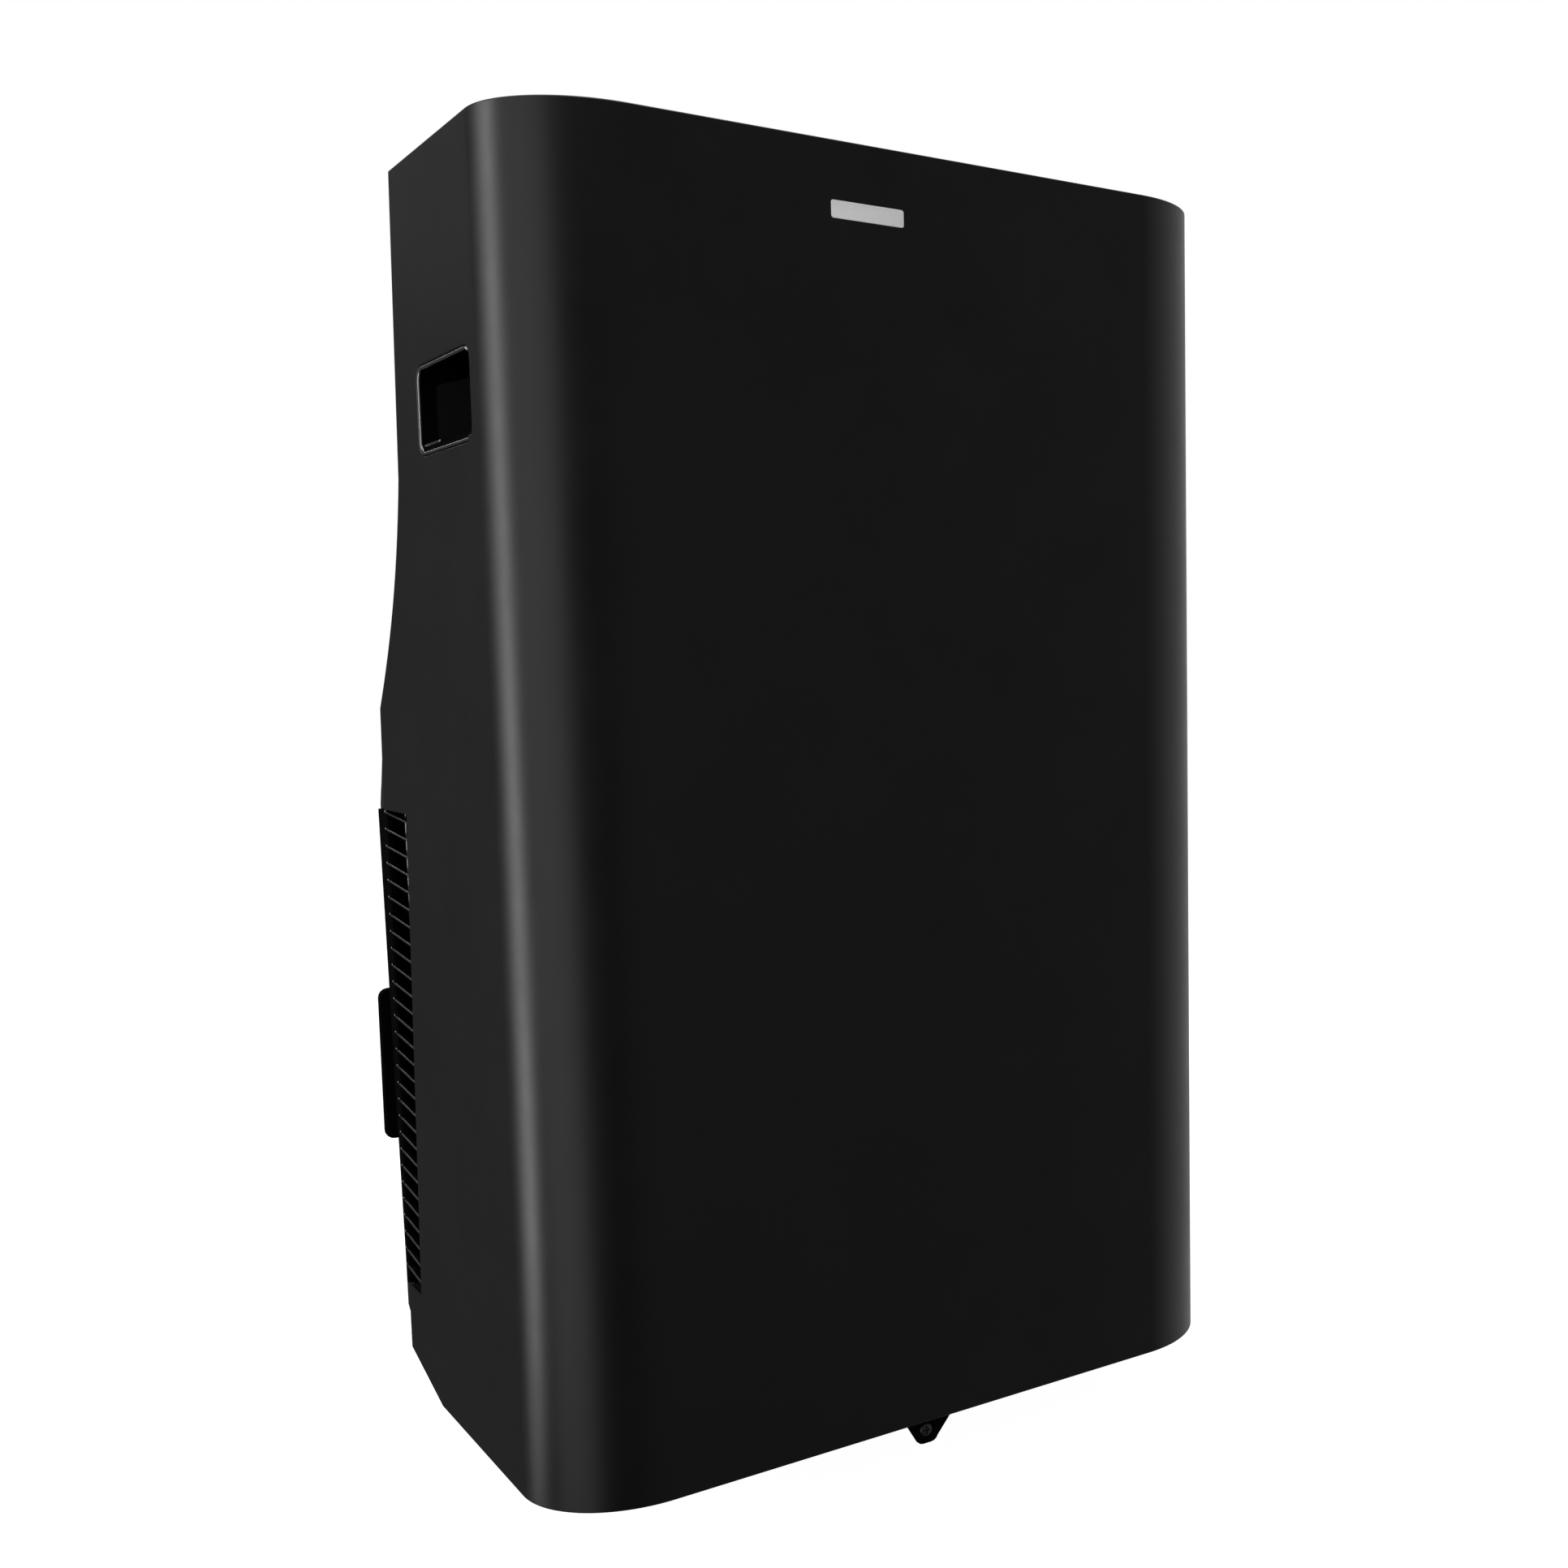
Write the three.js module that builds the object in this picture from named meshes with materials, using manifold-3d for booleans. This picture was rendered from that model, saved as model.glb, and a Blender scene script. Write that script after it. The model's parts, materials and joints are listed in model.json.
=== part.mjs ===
// Portable room air conditioner: a tall cabinet on four casters, with its refrigeration
// circuit, two blowers, top louvre, controls, filters and drain fittings inside it.
// Millimetres, +Z up. Inside the cabinet group, x is 0 at the middle, y is 0 at the front
// face and grows towards the back, and z is 0 at the cabinet's bottom edge.
import * as THREE from 'three';
import { mergeVertices } from 'three/addons/utils/BufferGeometryUtils.js';
import Module from 'manifold-3d';

const wasm = await Module();
wasm.setup();

// ---- Driving dimensions ----
const WIDTH = 438;
const DEPTH = 345;
const HEIGHT = 695;
const FLOOR_GAP = 33;
const WALL = 3;
const DUCT_WALL = 2.5;
const FIT = 0.3;
// Cutting solids run this far past the faces that they open.
const OVER = 2;

const HALF = WIDTH / 2;
const INNER_HALF = HALF - WALL;
const CORNER_X = 62;
const CORNER_Y = 51;
const CORNER_SEGMENTS = 10;
const INNER_SEGMENTS = 5;
const ROUND_SEGMENTS = 4;

// Side wall, seen from the side: how far back it reaches at each height.
const SIDE_TOP_Y = 181;
const HIP_TOP = { y: 189, z: 534 };
const HIP_BOTTOM = { y: 249, z: 404 };
const HIP_SIDE_BENDS = [222, 440, 200, 478];
const SIDE_LOW_Y = 251;
const HEEL = { y: 247, z: 17 };
const HEEL_FRONT_Y = 188;

// Back of the cabinet along its middle.
const BACK_TOP_Y = 187;
const BACK_HIP_Y = 194;
const HIP_BACK_BENDS = [228, 440, 206, 478];
const LEDGE_FRONT = { y: 256, z: 404 };
const LEDGE_BACK = { y: 304, z: 352 };
const BACK_EDGE = { y: 310, z: 343 };
const BACK_FOOT = { y: 288, z: 29 };
const COVER_SPLIT_Z = LEDGE_FRONT.z;
const LOWER_FRONT_Y = 195;
const UPPER_FRONT_Y = 168;
// The lower cover ends here behind the side wall, below and above the notch.
const LOWER_LAP_Y = { low: 222, high: 230 };
// The lower cover in plan draws in by these amounts at these distances from the front.
const TAPER_START_Y = 252;
const TAPER_MID = { y: 300, drop: 9 };
const TAPER_END_DROP = 16;
// Share of the wall thickness by which the inner corners of the lower back move in.
const INNER_EDGE_SHARE = { edge: 0.4, ledgeBack: 0.8, ledgeFront: 0.7 };

// Slotted corners of the lower rear cover.
const NOTCH_TOP_Z = 344;
const NOTCH_LOW_Z = 56;
const NOTCH_Y = 205;
const NOTCH_LEAN = 0.06;
const WING = { rearTopY: 266, rearLowY: 253, thickness: 4 };
const SLOT = { pitch: 10.2, height: 7, endY: 249, margin: 2, depth: 14 };

// Finger grips in both side walls: a shallow mouth, and room above it for the fingers.
const GRIP = {
  y: [59.5, 147],
  z: [539, 586],
  radius: 8,
  lip: 2,
  mouthRadius: 6,
  flange: 4,
  mouthDepth: 9,
  depth: 29,
  backWall: 2,
  frontWall: 1.5,
  cavityTop: 606,
  cavityLow: { front: 14, rear: 9 },
};

// Top outlet with its flap and guide vanes.
const OUTLET = { x: 160, y: [23, 108.5], skirtBottom: 658, wall: DUCT_WALL };
const TOP_FACE_Z = 694;
const TOP_THICKNESS = 3;
const PLATE_LOW_Z = TOP_FACE_Z - TOP_THICKNESS;
const FLAP_AXIS = { y: 99, z: 685 };
const FLAP = {
  gap: 1.5, barrel: 9, thickness: 3, lipDepth: 6, lipWidth: 2.5, pin: 2.6,
  socket: 2.8, socketDepth: 10,
};
const FLAP_MOTOR = {
  gap: 3, drop: 8, radius: 13, length: 18, shaft: 2.4, earHalf: 20, ear: 1.5,
  earDrop: [11, 5],
};
const SHAFT_HOLE = 3.2;
const VANE_COUNT = 5;
const VANE_SPACING = 54;
const VANE_AXIS_Z = 669;
const VANE = { halfThickness: 1, halfHeight: 5, sideGap: 3, pin: 1.8, pinHole: 2.3, pinReach: 2 };
const CRANK = { drop: 8, y: [62, 70], pin: 1.2, pinY: [68, 76], low: 1.5, high: 4 };
const CRANK_Z = VANE_AXIS_Z - CRANK.drop;
const LINK = {
  y: [71.5, 75], endMargin: 8, low: 4.5, high: 2.5, slotHalf: 1.8, slotLow: 2,
  slotHigh: 4,
};

// Control strip behind the outlet.
const CONTROLS = {
  x: 108,
  y: [117, 167],
  radius: 6,
  proud: 0.3,
  flange: 4,
  flangeZ: [687.5, 691.5],
  buttonY: 153,
  spacing: 26,
  count: 7,
};
const BUTTON = { radius: 7, topZ: 695, lowZ: 687, flange: 1.5, flangeZ: [685.4, 687.2] };
const BOARD = { x: 100, y: [122, 163], z: [679, 680.6], switchHalf: 3, switchTop: 684 };
const DISPLAY = { x: 24, y: [126, 140], top: 687 };

// Casters.
const CASTER_X = 150;
const CASTER_FRONT_Y = 97;
const CASTER_REAR_Y = 215;
const CASTER_TRAIL = 13;
const WHEEL_RADIUS = 20;
const WHEEL_WIDTH = 17;
const WHEEL_Z = WHEEL_RADIUS - FLOOR_GAP;
const WHEEL_EDGE = { in: 2, along: 2.5 };
const AXLE = 2.5;
const HUB_BORE = 2.9;
const FORK = {
  plate: 15, plateThickness: 3, stem: 4, stemTop: 5, shoulder: 13, cheek: 2.5,
  gap: 1, eye: 6, heel: 7,
};
const POCKET_RADIUS = 36;
const POCKET_CEILING = 12;
const STEM_SOCKET = 4.3;

// Exhaust port in the back, above the ledge.
const PORT = { x: 95, z: 486, radius: 64, wall: 3, y: [243, 276] };
const COLLAR = { flange: 9, flangeThickness: 3, bead: 1.5, beadFromEnd: [5, 2] };
const BOSS = { x: [12, 178], z: [COVER_SPLIT_Z, 565], front: 180, back: 252, room: 28 };
const DUCT_TOP = 558;

// Filters: both are frames with ribs that lie in the leaning back.
const FILTER = { border: 9, rib: 5, tabHalf: 22, tabReach: 4, tabDrop: [8, 3] };
const UPPER_FILTER = { half: 183, height: 98, thickness: 6, columns: 3, rows: 3, y: 187, z: 584 };
const LOWER_FILTER = { half: 172, height: 282, thickness: 7, columns: 3, rows: 8, y: 284.6, z: 48 };
const FILTER_GAP = 1;

// Drain fittings and cord inlet in the back.
const UPPER_DRAIN = { x: -150, z: 424, back: 257 };
const DRAIN_BOSS = { half: 18, front: 195 };
const LOWER_DRAIN = { x: 185, z: 40, back: 290 };
const DRAIN_CAP = {
  head: 12, headThickness: 4, plug: 8, plugDepth: 12, wingHalf: 2, wing: [3, 9],
  wingReach: 9,
};
const DRAIN_HOLE = 8.4;
const CORD_INLET = { x: -192, z: 70, back: 292.2 };
const GLAND = { head: 11, headThickness: 5, body: 7, depth: 10, bore: 4, hole: 7.4 };

// Cord cleats on the back: an arm, a lip and a foot, with x limits for the left one.
const CLEAT_Z = [122, 221];
const CLEAT = { arm: [-190, -185], lip: [-204, -183], foot: [-200, -176], footMargin: 6 };
const CLEAT_Y = { foot: [299, 307], arm: [297, 341], lip: 339.5, lipRadius: 6, footRadius: 4 };

// Tongue below the front edge, with a screw through it.
const TAB = {
  half: 17, topZ: 1.7, lowX: [-9, 5], endX: [-4, 0], shoulderZ: -12, lowZ: -15,
  y: [5, 8],
};
const TAB_SCREW = { x: -4, z: -6, hole: 2.1, head: 4.2, headY: [2.7, 4.7], shank: 1.8, end: 14 };

// Base pan.
const PAN = { rim: 51.5, low: 2, rear: 281, ribHeight: 70, heelDrop: 1 };

// Blowers.
const COLD_FAN = { x: -20, z: 520, wheel: 76, inner: 60, y: [60, 132] };
const HOT_FAN = { x: 38, z: 175, wheel: 84, inner: 66, y: [178, 240] };
const SCROLL = { gap: 8, steps: 16, shaftHole: 9 };
const COLD_SCROLL = {
  tongue: 0.62, grow: 30, throat: 62, top: 630, innerTop: 640, hoodLow: 626,
  hoodBack: 134,
};
const HOT_SCROLL = { tongue: 0.53, throat: 28, outerX: 162 };
const WHEEL = {
  gap: 6, disc: 3, hub: 12, hubLength: 18, ring: 4, ringWidth: 14, bladeSet: 22,
  bladeDrop: 8, bore: 4.4,
};
const COLD_BLADES = 12;
const HOT_BLADES = 14;
const MOTOR = { gap: 2, nose: 6, tail: 5, noseShare: 0.55, shaft: 3.8, shaftReach: 22 };
const COLD_MOTOR = { radius: 38, length: 44 };
const HOT_MOTOR = { radius: 44, length: 50 };

// Coils: a finned core between end plates, with hairpin bends on one side.
const COLD_COIL = { x: [-178, 118], y: [139, 164], z: [408, 672] };
const HOT_COIL = { x: [-190, 176], y: [253, 275], z: [36, 340] };
const COIL = { plate: 2, plateRim: [2, 3], bends: 5, tube: 3.5, bendRadius: 9, neck: 5, reach: 11 };

// Water handling.
const TRAY = {
  low: 386, floor: 389, rim: 402, rear: 172,
  spout: { x: -150, y: 150, radius: 6, bore: 4, drop: 16 },
};
const FLOAT = { x: 96, y: 48, radius: 14, z: [5.6, 22], bore: 4, post: 3, postZ: [4, 44] };
const SPLASH = {
  y: 225, z: 50, radius: 26, hub: 6, bore: 2.4, discX: [189, 191.5],
  hubX: [187, 194],
};
const SPLASH_MOTOR = {
  radius: 15, x: [168, 184], shaft: 2, shaftEnd: 196, footX: [170, 180],
  footHalf: 11, footZ: [21, 38],
};

// Refrigeration.
const COMPRESSOR = { x: -140, y: 105, radius: 58, z: [31, 262] };
const CAN = {
  rimLow: 6, cornerIn: 10, cornerUp: 20, shoulderDown: 34, neckIn: 8, neckDown: 16,
  capIn: 28, capDown: 5,
};
const CAN_TOP = 2;
const CAN_FEET = { count: 3, at: 52, pad: 13, padThickness: 3, rubber: 9, drop: 14, rise: 8 };
const CAN_PLATE = { radius: 50, height: 7 };
const TERMINAL = { halfX: 16, halfY: 18, down: 10, up: 12 };
const ACCUMULATOR = { x: -68, y: 58, radius: 21, z: [66, 226], endIn: 8, endUp: 3, corner: 14 };
const DISCHARGE_PIPE = {
  radius: 4,
  steps: 18,
  route: [
    [-172, 105, 258], [-172, 105, 290], [-180, 130, 312],
    [-186, 180, 318], [-186, 225, 320], [-186, 250, 320],
  ],
};
const SUCTION_PIPE = {
  radius: 5,
  steps: 24,
  route: [
    [-68, 58, 227], [-68, 58, 262], [-90, 90, 300], [-130, 150, 330], [-170, 179, 360],
    [-186, 181, 410], [-192, 172, 450], [-190, 152, 462], [-181, 152, 462],
  ],
};
const CAPILLARY_PIPE = {
  radius: 2.2,
  steps: 24,
  route: [
    [-196, 262, 60], [-196, 235, 60], [-198, 200, 90], [-198, 186, 200],
    [-198, 184, 380], [-198, 180, 500], [-195, 160, 540], [-181, 152, 540],
  ],
};
const PIPE_SIDES = 6;

// Control box on the right wall, with vents in its inner face.
const BOX = { x: [166, 208], y: [34, 134], z: [412, 530], wall: 2 };
const BOX_LID = { x: [163.5, 167], y: [32, 136], z: [411, 532] };
const BOX_VENT = { count: 4, y: [50, 118], low: 430, pitch: 22, height: 6 };

// ---- Finishes ----
const finish = (color, roughness, metalness = 0) => ({ color, roughness, metalness });
const SHELL_BLACK = finish(0x161617, 0.42);
const REAR_BLACK = finish(0x111114, 0.5);
const GLOSS_BLACK = finish(0x0c0c0e, 0.15);
const SOFT_GREY = finish(0x6f7276, 0.5);
const RUBBER_BLACK = finish(0x17181a, 0.85);
const DUCT_WHITE = finish(0xd9dbda, 0.6);
const FAN_BLACK = finish(0x1d1f21, 0.55);
const ZINC = finish(0xb4b8ba, 0.35, 0.9);
const BARE_STEEL = finish(0xc9ccce, 0.25, 1);
const COPPER = finish(0xb56a3c, 0.3, 1);
const FIN_ALUMINIUM = finish(0xc3c7ca, 0.35, 0.9);
const COMPRESSOR_BLACK = finish(0x202224, 0.45, 0.3);
const BOARD_GREEN = finish(0x1d5b3a, 0.6);
const FOAM_WHITE = finish(0xeeeeea, 0.8);

// ---- Solids ----
const SAME_POINT = 1e-4;

function solidFrom(geometry) {
  const bare = geometry.clone();
  bare.deleteAttribute('normal');
  bare.deleteAttribute('uv');
  const merged = mergeVertices(bare, SAME_POINT);
  const mesh = new wasm.Mesh({
    numProp: 3,
    vertProperties: Float32Array.from(merged.attributes.position.array),
    triVerts: Uint32Array.from(merged.index.array),
  });
  return new wasm.Manifold(mesh);
}

function geometryFrom(solid) {
  const mesh = solid.getMesh();
  const geometry = new THREE.BufferGeometry();
  geometry.setAttribute('position', new THREE.BufferAttribute(mesh.vertProperties, 3));
  geometry.setIndex(new THREE.BufferAttribute(mesh.triVerts, 1));
  geometry.computeVertexNormals();
  return geometry;
}

const join = (first, ...others) => others.reduce((sum, solid) => sum.add(solid), first);
const cut = (first, ...tools) => tools.reduce((rest, tool) => rest.subtract(tool), first);
const range = (count) => Array.from({ length: count }, (_, index) => index);
const centred = (count, spacing) => range(count).map((index) => (index - (count - 1) / 2) * spacing);
const middle = (span) => (span[0] + span[1]) / 2;
const spread = (span, margin) => [span[0] - margin, span[1] + margin];
const around = (centre, half) => [centre - half, centre + half];
const degrees = (rise, run) => (Math.atan2(rise, run) * 180) / Math.PI;

// A box given by its low and high limits along each axis.
function block(x, y, z) {
  const geometry = new THREE.BoxGeometry(x[1] - x[0], y[1] - y[0], z[1] - z[0]);
  return solidFrom(geometry.translate(middle(x), middle(y), middle(z)));
}

function shapeOf(outline) {
  const given = outline instanceof THREE.Shape;
  return given ? outline : new THREE.Shape(outline.map(([a, b]) => new THREE.Vector2(a, b)));
}

// Prisms: an outline pushed along one axis. The outline's own axes are (y, z), (x, z) or (x, y).
function prism(outline, span, right, up, along, start, curveSegments) {
  const options = { depth: span[1] - span[0], bevelEnabled: false, curveSegments };
  const geometry = new THREE.ExtrudeGeometry(shapeOf(outline), options);
  geometry.applyMatrix4(new THREE.Matrix4().makeBasis(right, up, along));
  return solidFrom(geometry.translate(...start));
}
const X = new THREE.Vector3(1, 0, 0);
const Y = new THREE.Vector3(0, 1, 0);
const Z = new THREE.Vector3(0, 0, 1);
const BACK_TO_FRONT = Y.clone().negate();

function prismX(outline, span, segments = ROUND_SEGMENTS) {
  return prism(outline, span, Y, Z, X, [span[0], 0, 0], segments);
}

function prismY(outline, span, segments = ROUND_SEGMENTS) {
  return prism(outline, span, X, Z, BACK_TO_FRONT, [0, span[1], 0], segments);
}

function prismZ(outline, span, segments = ROUND_SEGMENTS) {
  return prism(outline, span, X, Y, Z, [0, 0, span[0]], segments);
}

// Round bars along an axis, through the point given by the two other coordinates.
function bar(radius, span, segments) {
  const geometry = new THREE.CylinderGeometry(radius, radius, span[1] - span[0], segments);
  return geometry.translate(0, middle(span), 0);
}

function barX(y, z, radius, span, segments) {
  return solidFrom(bar(radius, span, segments).rotateZ(-Math.PI / 2).translate(0, y, z));
}

function barY(x, z, radius, span, segments) {
  return solidFrom(bar(radius, span, segments).translate(x, 0, z));
}

function barZ(x, y, radius, span, segments) {
  return solidFrom(bar(radius, span, segments).rotateX(Math.PI / 2).translate(x, y, 0));
}

// Facets of round parts, from pins to fan wheels.
const PIN = 6;
const ROD = 8;
const KNOB = 12;
const ROUND = 16;
const LARGE = 20;
const SMOOTH = 24;
const FAN_ROUND = 28;

// A turned body about the vertical axis through (x, y), from a profile of [radius, z] points.
function turned(x, y, profile, segments) {
  const points = profile.map(([radius, z]) => new THREE.Vector2(radius, z));
  const geometry = new THREE.LatheGeometry(points, segments);
  return solidFrom(geometry.rotateX(Math.PI / 2).translate(x, y, 0));
}

function tube({ route, radius, steps }) {
  const points = route.map((point) => new THREE.Vector3(...point));
  const path = new THREE.CatmullRomCurve3(points, false, 'centripetal');
  const section = new THREE.Shape().absarc(0, 0, radius, 0, Math.PI * 2);
  const options = { steps, extrudePath: path, curveSegments: PIPE_SIDES / 2, bevelEnabled: false };
  return solidFrom(new THREE.ExtrudeGeometry(section, options));
}

function roundedBox(a, b, radius) {
  const shape = new THREE.Shape();
  shape.moveTo(a[0] + radius, b[0]);
  shape.absarc(a[1] - radius, b[0] + radius, radius, -Math.PI / 2, 0);
  shape.absarc(a[1] - radius, b[1] - radius, radius, 0, Math.PI / 2);
  shape.absarc(a[0] + radius, b[1] - radius, radius, Math.PI / 2, Math.PI);
  shape.absarc(a[0] + radius, b[0] + radius, radius, Math.PI, Math.PI * 1.5);
  return shape;
}

const mirrored = (solid) => solid.mirror([1, 0, 0]);

// ---- Node list ----
const cabinet = new THREE.Group();
cabinet.position.set(0, -DEPTH / 2, FLOOR_GAP);

function addNode(name, solid, look) {
  const mesh = new THREE.Mesh(geometryFrom(solid), new THREE.MeshStandardMaterial(look));
  mesh.name = name;
  cabinet.add(mesh);
}

// ---- Cabinet outlines ----
const ACROSS = spread([-HALF, HALF], OVER);

// Front and sides in plan, drawn inside the outer face by the inset, open past the back.
function planOutline(inset, rear) {
  const shape = new THREE.Shape();
  const edge = HALF - inset;
  const centre = HALF - CORNER_X;
  const radii = [CORNER_X - inset, CORNER_Y - inset];
  shape.moveTo(-edge, rear);
  shape.lineTo(-edge, CORNER_Y);
  shape.absellipse(-centre, CORNER_Y, ...radii, Math.PI, Math.PI * 1.5);
  shape.absellipse(centre, CORNER_Y, ...radii, Math.PI * 1.5, Math.PI * 2);
  shape.lineTo(edge, rear);
  return shape;
}

function planSolid(inset, span, rear = DEPTH, segments = CORNER_SEGMENTS) {
  return prismZ(planOutline(inset, rear), span, segments);
}

// The side wall's shape seen from the side.
function sideProfile() {
  const shape = new THREE.Shape();
  shape.moveTo(-OVER, 0);
  shape.lineTo(HEEL_FRONT_Y, 0);
  shape.lineTo(HEEL.y, HEEL.z);
  shape.lineTo(SIDE_LOW_Y, NOTCH_TOP_Z);
  shape.lineTo(HIP_BOTTOM.y, HIP_BOTTOM.z);
  shape.bezierCurveTo(...HIP_SIDE_BENDS, HIP_TOP.y, HIP_TOP.z);
  shape.lineTo(SIDE_TOP_Y, HEIGHT);
  shape.lineTo(-OVER, HEIGHT);
  return shape;
}

// The back surface seen from the side, drawn inside the outer face by the inset.
function lowerBackProfile(front, inset, openTop) {
  const share = INNER_EDGE_SHARE;
  const top = COVER_SPLIT_Z - FIT + openTop;
  return [
    [front, BACK_FOOT.z + inset],
    [BACK_FOOT.y - inset, BACK_FOOT.z + inset],
    [BACK_EDGE.y - inset, BACK_EDGE.z - inset * share.edge],
    [LEDGE_BACK.y - inset * share.ledgeBack, LEDGE_BACK.z - inset * share.ledgeBack],
    [LEDGE_FRONT.y - inset * share.ledgeFront, top],
    [front, top],
  ];
}

function upperBackProfile(front, inset, open) {
  const shape = new THREE.Shape();
  const [lowY, lowZ, highY, highZ] = HIP_BACK_BENDS;
  const top = PLATE_LOW_Z - FIT + open;
  shape.moveTo(front, COVER_SPLIT_Z - open);
  shape.lineTo(LEDGE_FRONT.y - inset, COVER_SPLIT_Z - open);
  shape.bezierCurveTo(lowY - inset, lowZ, highY - inset, highZ, BACK_HIP_Y - inset, HIP_TOP.z);
  shape.lineTo(BACK_TOP_Y - inset, top);
  shape.lineTo(front, top);
  return shape;
}

// The leading edge of the slotted corners, which leans backwards going down.
const notchEdge = (z) => NOTCH_Y + (NOTCH_TOP_Z - z) * NOTCH_LEAN;

// ---- Enclosure ----
function frontPanel() {
  const outer = planSolid(0, [0, HEIGHT]).intersect(prismX(sideProfile(), ACROSS));
  const shell = outer.subtract(planSolid(WALL, spread([0, HEIGHT], OVER)));
  const grip = prismX(roundedBox(GRIP.y, GRIP.z, GRIP.radius), ACROSS);
  const notch = prismX([
    [NOTCH_Y, NOTCH_TOP_Z],
    [notchEdge(NOTCH_LOW_Z), NOTCH_LOW_Z],
    [DEPTH, NOTCH_LOW_Z],
    [DEPTH, NOTCH_TOP_Z],
  ], ACROSS);
  return cut(shell, grip, notch);
}

function gripPocket() {
  const outerX = -INNER_HALF + FIT;
  const deepX = -HALF + GRIP.depth;
  const outline = (margin, radius) => roundedBox(spread(GRIP.y, margin), spread(GRIP.z, margin), radius);
  const flangeZ = [GRIP.z[0] - GRIP.flange, GRIP.cavityTop + WALL];
  const flange = prismX(roundedBox(spread(GRIP.y, GRIP.flange), flangeZ, GRIP.radius), [outerX, deepX]);
  const rim = prismX(outline(-FIT, GRIP.radius), [-HALF + FIT, outerX + FIT]);
  const mouth = prismX(outline(-GRIP.lip, GRIP.mouthRadius), [-HALF - OVER, -HALF + GRIP.mouthDepth]);
  const [front, rear] = spread(GRIP.y, -GRIP.lip);
  const cavity = prismX([
    [front, GRIP.z[1] - GRIP.cavityLow.front],
    [rear, GRIP.z[1] - GRIP.cavityLow.rear],
    [rear, GRIP.cavityTop],
    [front, GRIP.cavityTop],
  ], [outerX + GRIP.frontWall, deepX - GRIP.backWall]);
  return cut(flange.add(rim), mouth, cavity);
}

function topCover() {
  const plate = planSolid(WALL + FIT, [PLATE_LOW_Z, TOP_FACE_Z], BACK_TOP_Y);
  const inside = [-OUTLET.x, OUTLET.x];
  const skirtZ = [OUTLET.skirtBottom, TOP_FACE_Z - FIT];
  const skirt = block(spread(inside, OUTLET.wall), spread(OUTLET.y, OUTLET.wall), skirtZ);
  const outlet = block(inside, OUTLET.y, [OUTLET.skirtBottom - OVER, TOP_FACE_Z + OVER]);
  const window = prismZ(
    roundedBox([-CONTROLS.x, CONTROLS.x], CONTROLS.y, CONTROLS.radius),
    spread([PLATE_LOW_Z, TOP_FACE_Z], OVER),
  );
  const through = spread(OUTLET.y, OUTLET.wall + OVER);
  const pinHoles = vanePlaces().map((x) => barY(x, VANE_AXIS_Z, VANE.pinHole, through, PIN));
  const shaftSpan = spread(inside, OUTLET.wall + OVER);
  const shaftHole = barX(FLAP_AXIS.y, FLAP_AXIS.z, SHAFT_HOLE, shaftSpan, ROD);
  return cut(plate.add(skirt), outlet, window, shaftHole, ...pinHoles);
}

function rearCoverUpper() {
  const side = INNER_HALF - FIT;
  const behind = UPPER_FRONT_Y - BOSS.room;
  const outer = prismX(upperBackProfile(behind, 0, 0), [-side, side]);
  const inner = prismX(upperBackProfile(behind - OVER, WALL, 1), spread([-side, side], -WALL));
  const boss = block(BOSS.x, [BOSS.front, BOSS.back], BOSS.z);
  const bossInside = [BOSS.z[0] - OVER, BOSS.z[1] - WALL];
  const bossRoom = block(spread(BOSS.x, -WALL), [behind, BOSS.back - WALL], bossInside);
  const drainX = around(UPPER_DRAIN.x, DRAIN_BOSS.half);
  const drainTop = UPPER_DRAIN.z + DRAIN_BOSS.half;
  const drainBoss = block(drainX, [DRAIN_BOSS.front, UPPER_DRAIN.back], [COVER_SPLIT_Z, drainTop]);
  const drainInside = [COVER_SPLIT_Z - OVER, drainTop - WALL];
  const drainRoom = block(spread(drainX, -WALL), [behind, UPPER_DRAIN.back - WALL], drainInside);
  const collarSpan = spread([BOSS.back - WALL, BOSS.back], OVER);
  const port = barY(PORT.x, PORT.z, PORT.radius + PORT.wall + FIT, collarSpan, LARGE);
  const grille = block(...filterOpening(UPPER_FILTER, [behind, BOSS.back]));
  const sideRelief = block(ACROSS, [behind - OVER, UPPER_FRONT_Y], [COVER_SPLIT_Z - OVER, HEIGHT]);
  const drain = barY(UPPER_DRAIN.x, UPPER_DRAIN.z, DRAIN_HOLE, [DRAIN_BOSS.front, DEPTH], KNOB);
  return cut(join(outer, boss, drainBoss), inner, bossRoom, drainRoom, port, grille, sideRelief, drain);
}

// One corner wing of the lower rear cover: a plate flush with the side wall, whose front edge
// follows the leaning notch and whose rear edge leans the other way.
function cornerWing() {
  const low = NOTCH_LOW_Z + FIT;
  const high = NOTCH_TOP_Z - FIT;
  return prismX([
    [notchEdge(high) + FIT, high],
    [WING.rearTopY, high],
    [WING.rearLowY, low],
    [notchEdge(low) + FIT, low],
  ], [-HALF + FIT, -HALF + FIT + WING.thickness]);
}

// The rear part in plan: its sides draw in towards the back.
function rearPlan(inset, front) {
  const side = INNER_HALF - FIT - inset;
  const half = [
    [side, front],
    [side, TAPER_START_Y],
    [side - TAPER_MID.drop, TAPER_MID.y],
    [side - TAPER_END_DROP, DEPTH],
  ];
  const otherHalf = half.map(([x, y]) => [-x, y]).reverse();
  return prismZ([...half, ...otherHalf], [0, HEIGHT]);
}

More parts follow.
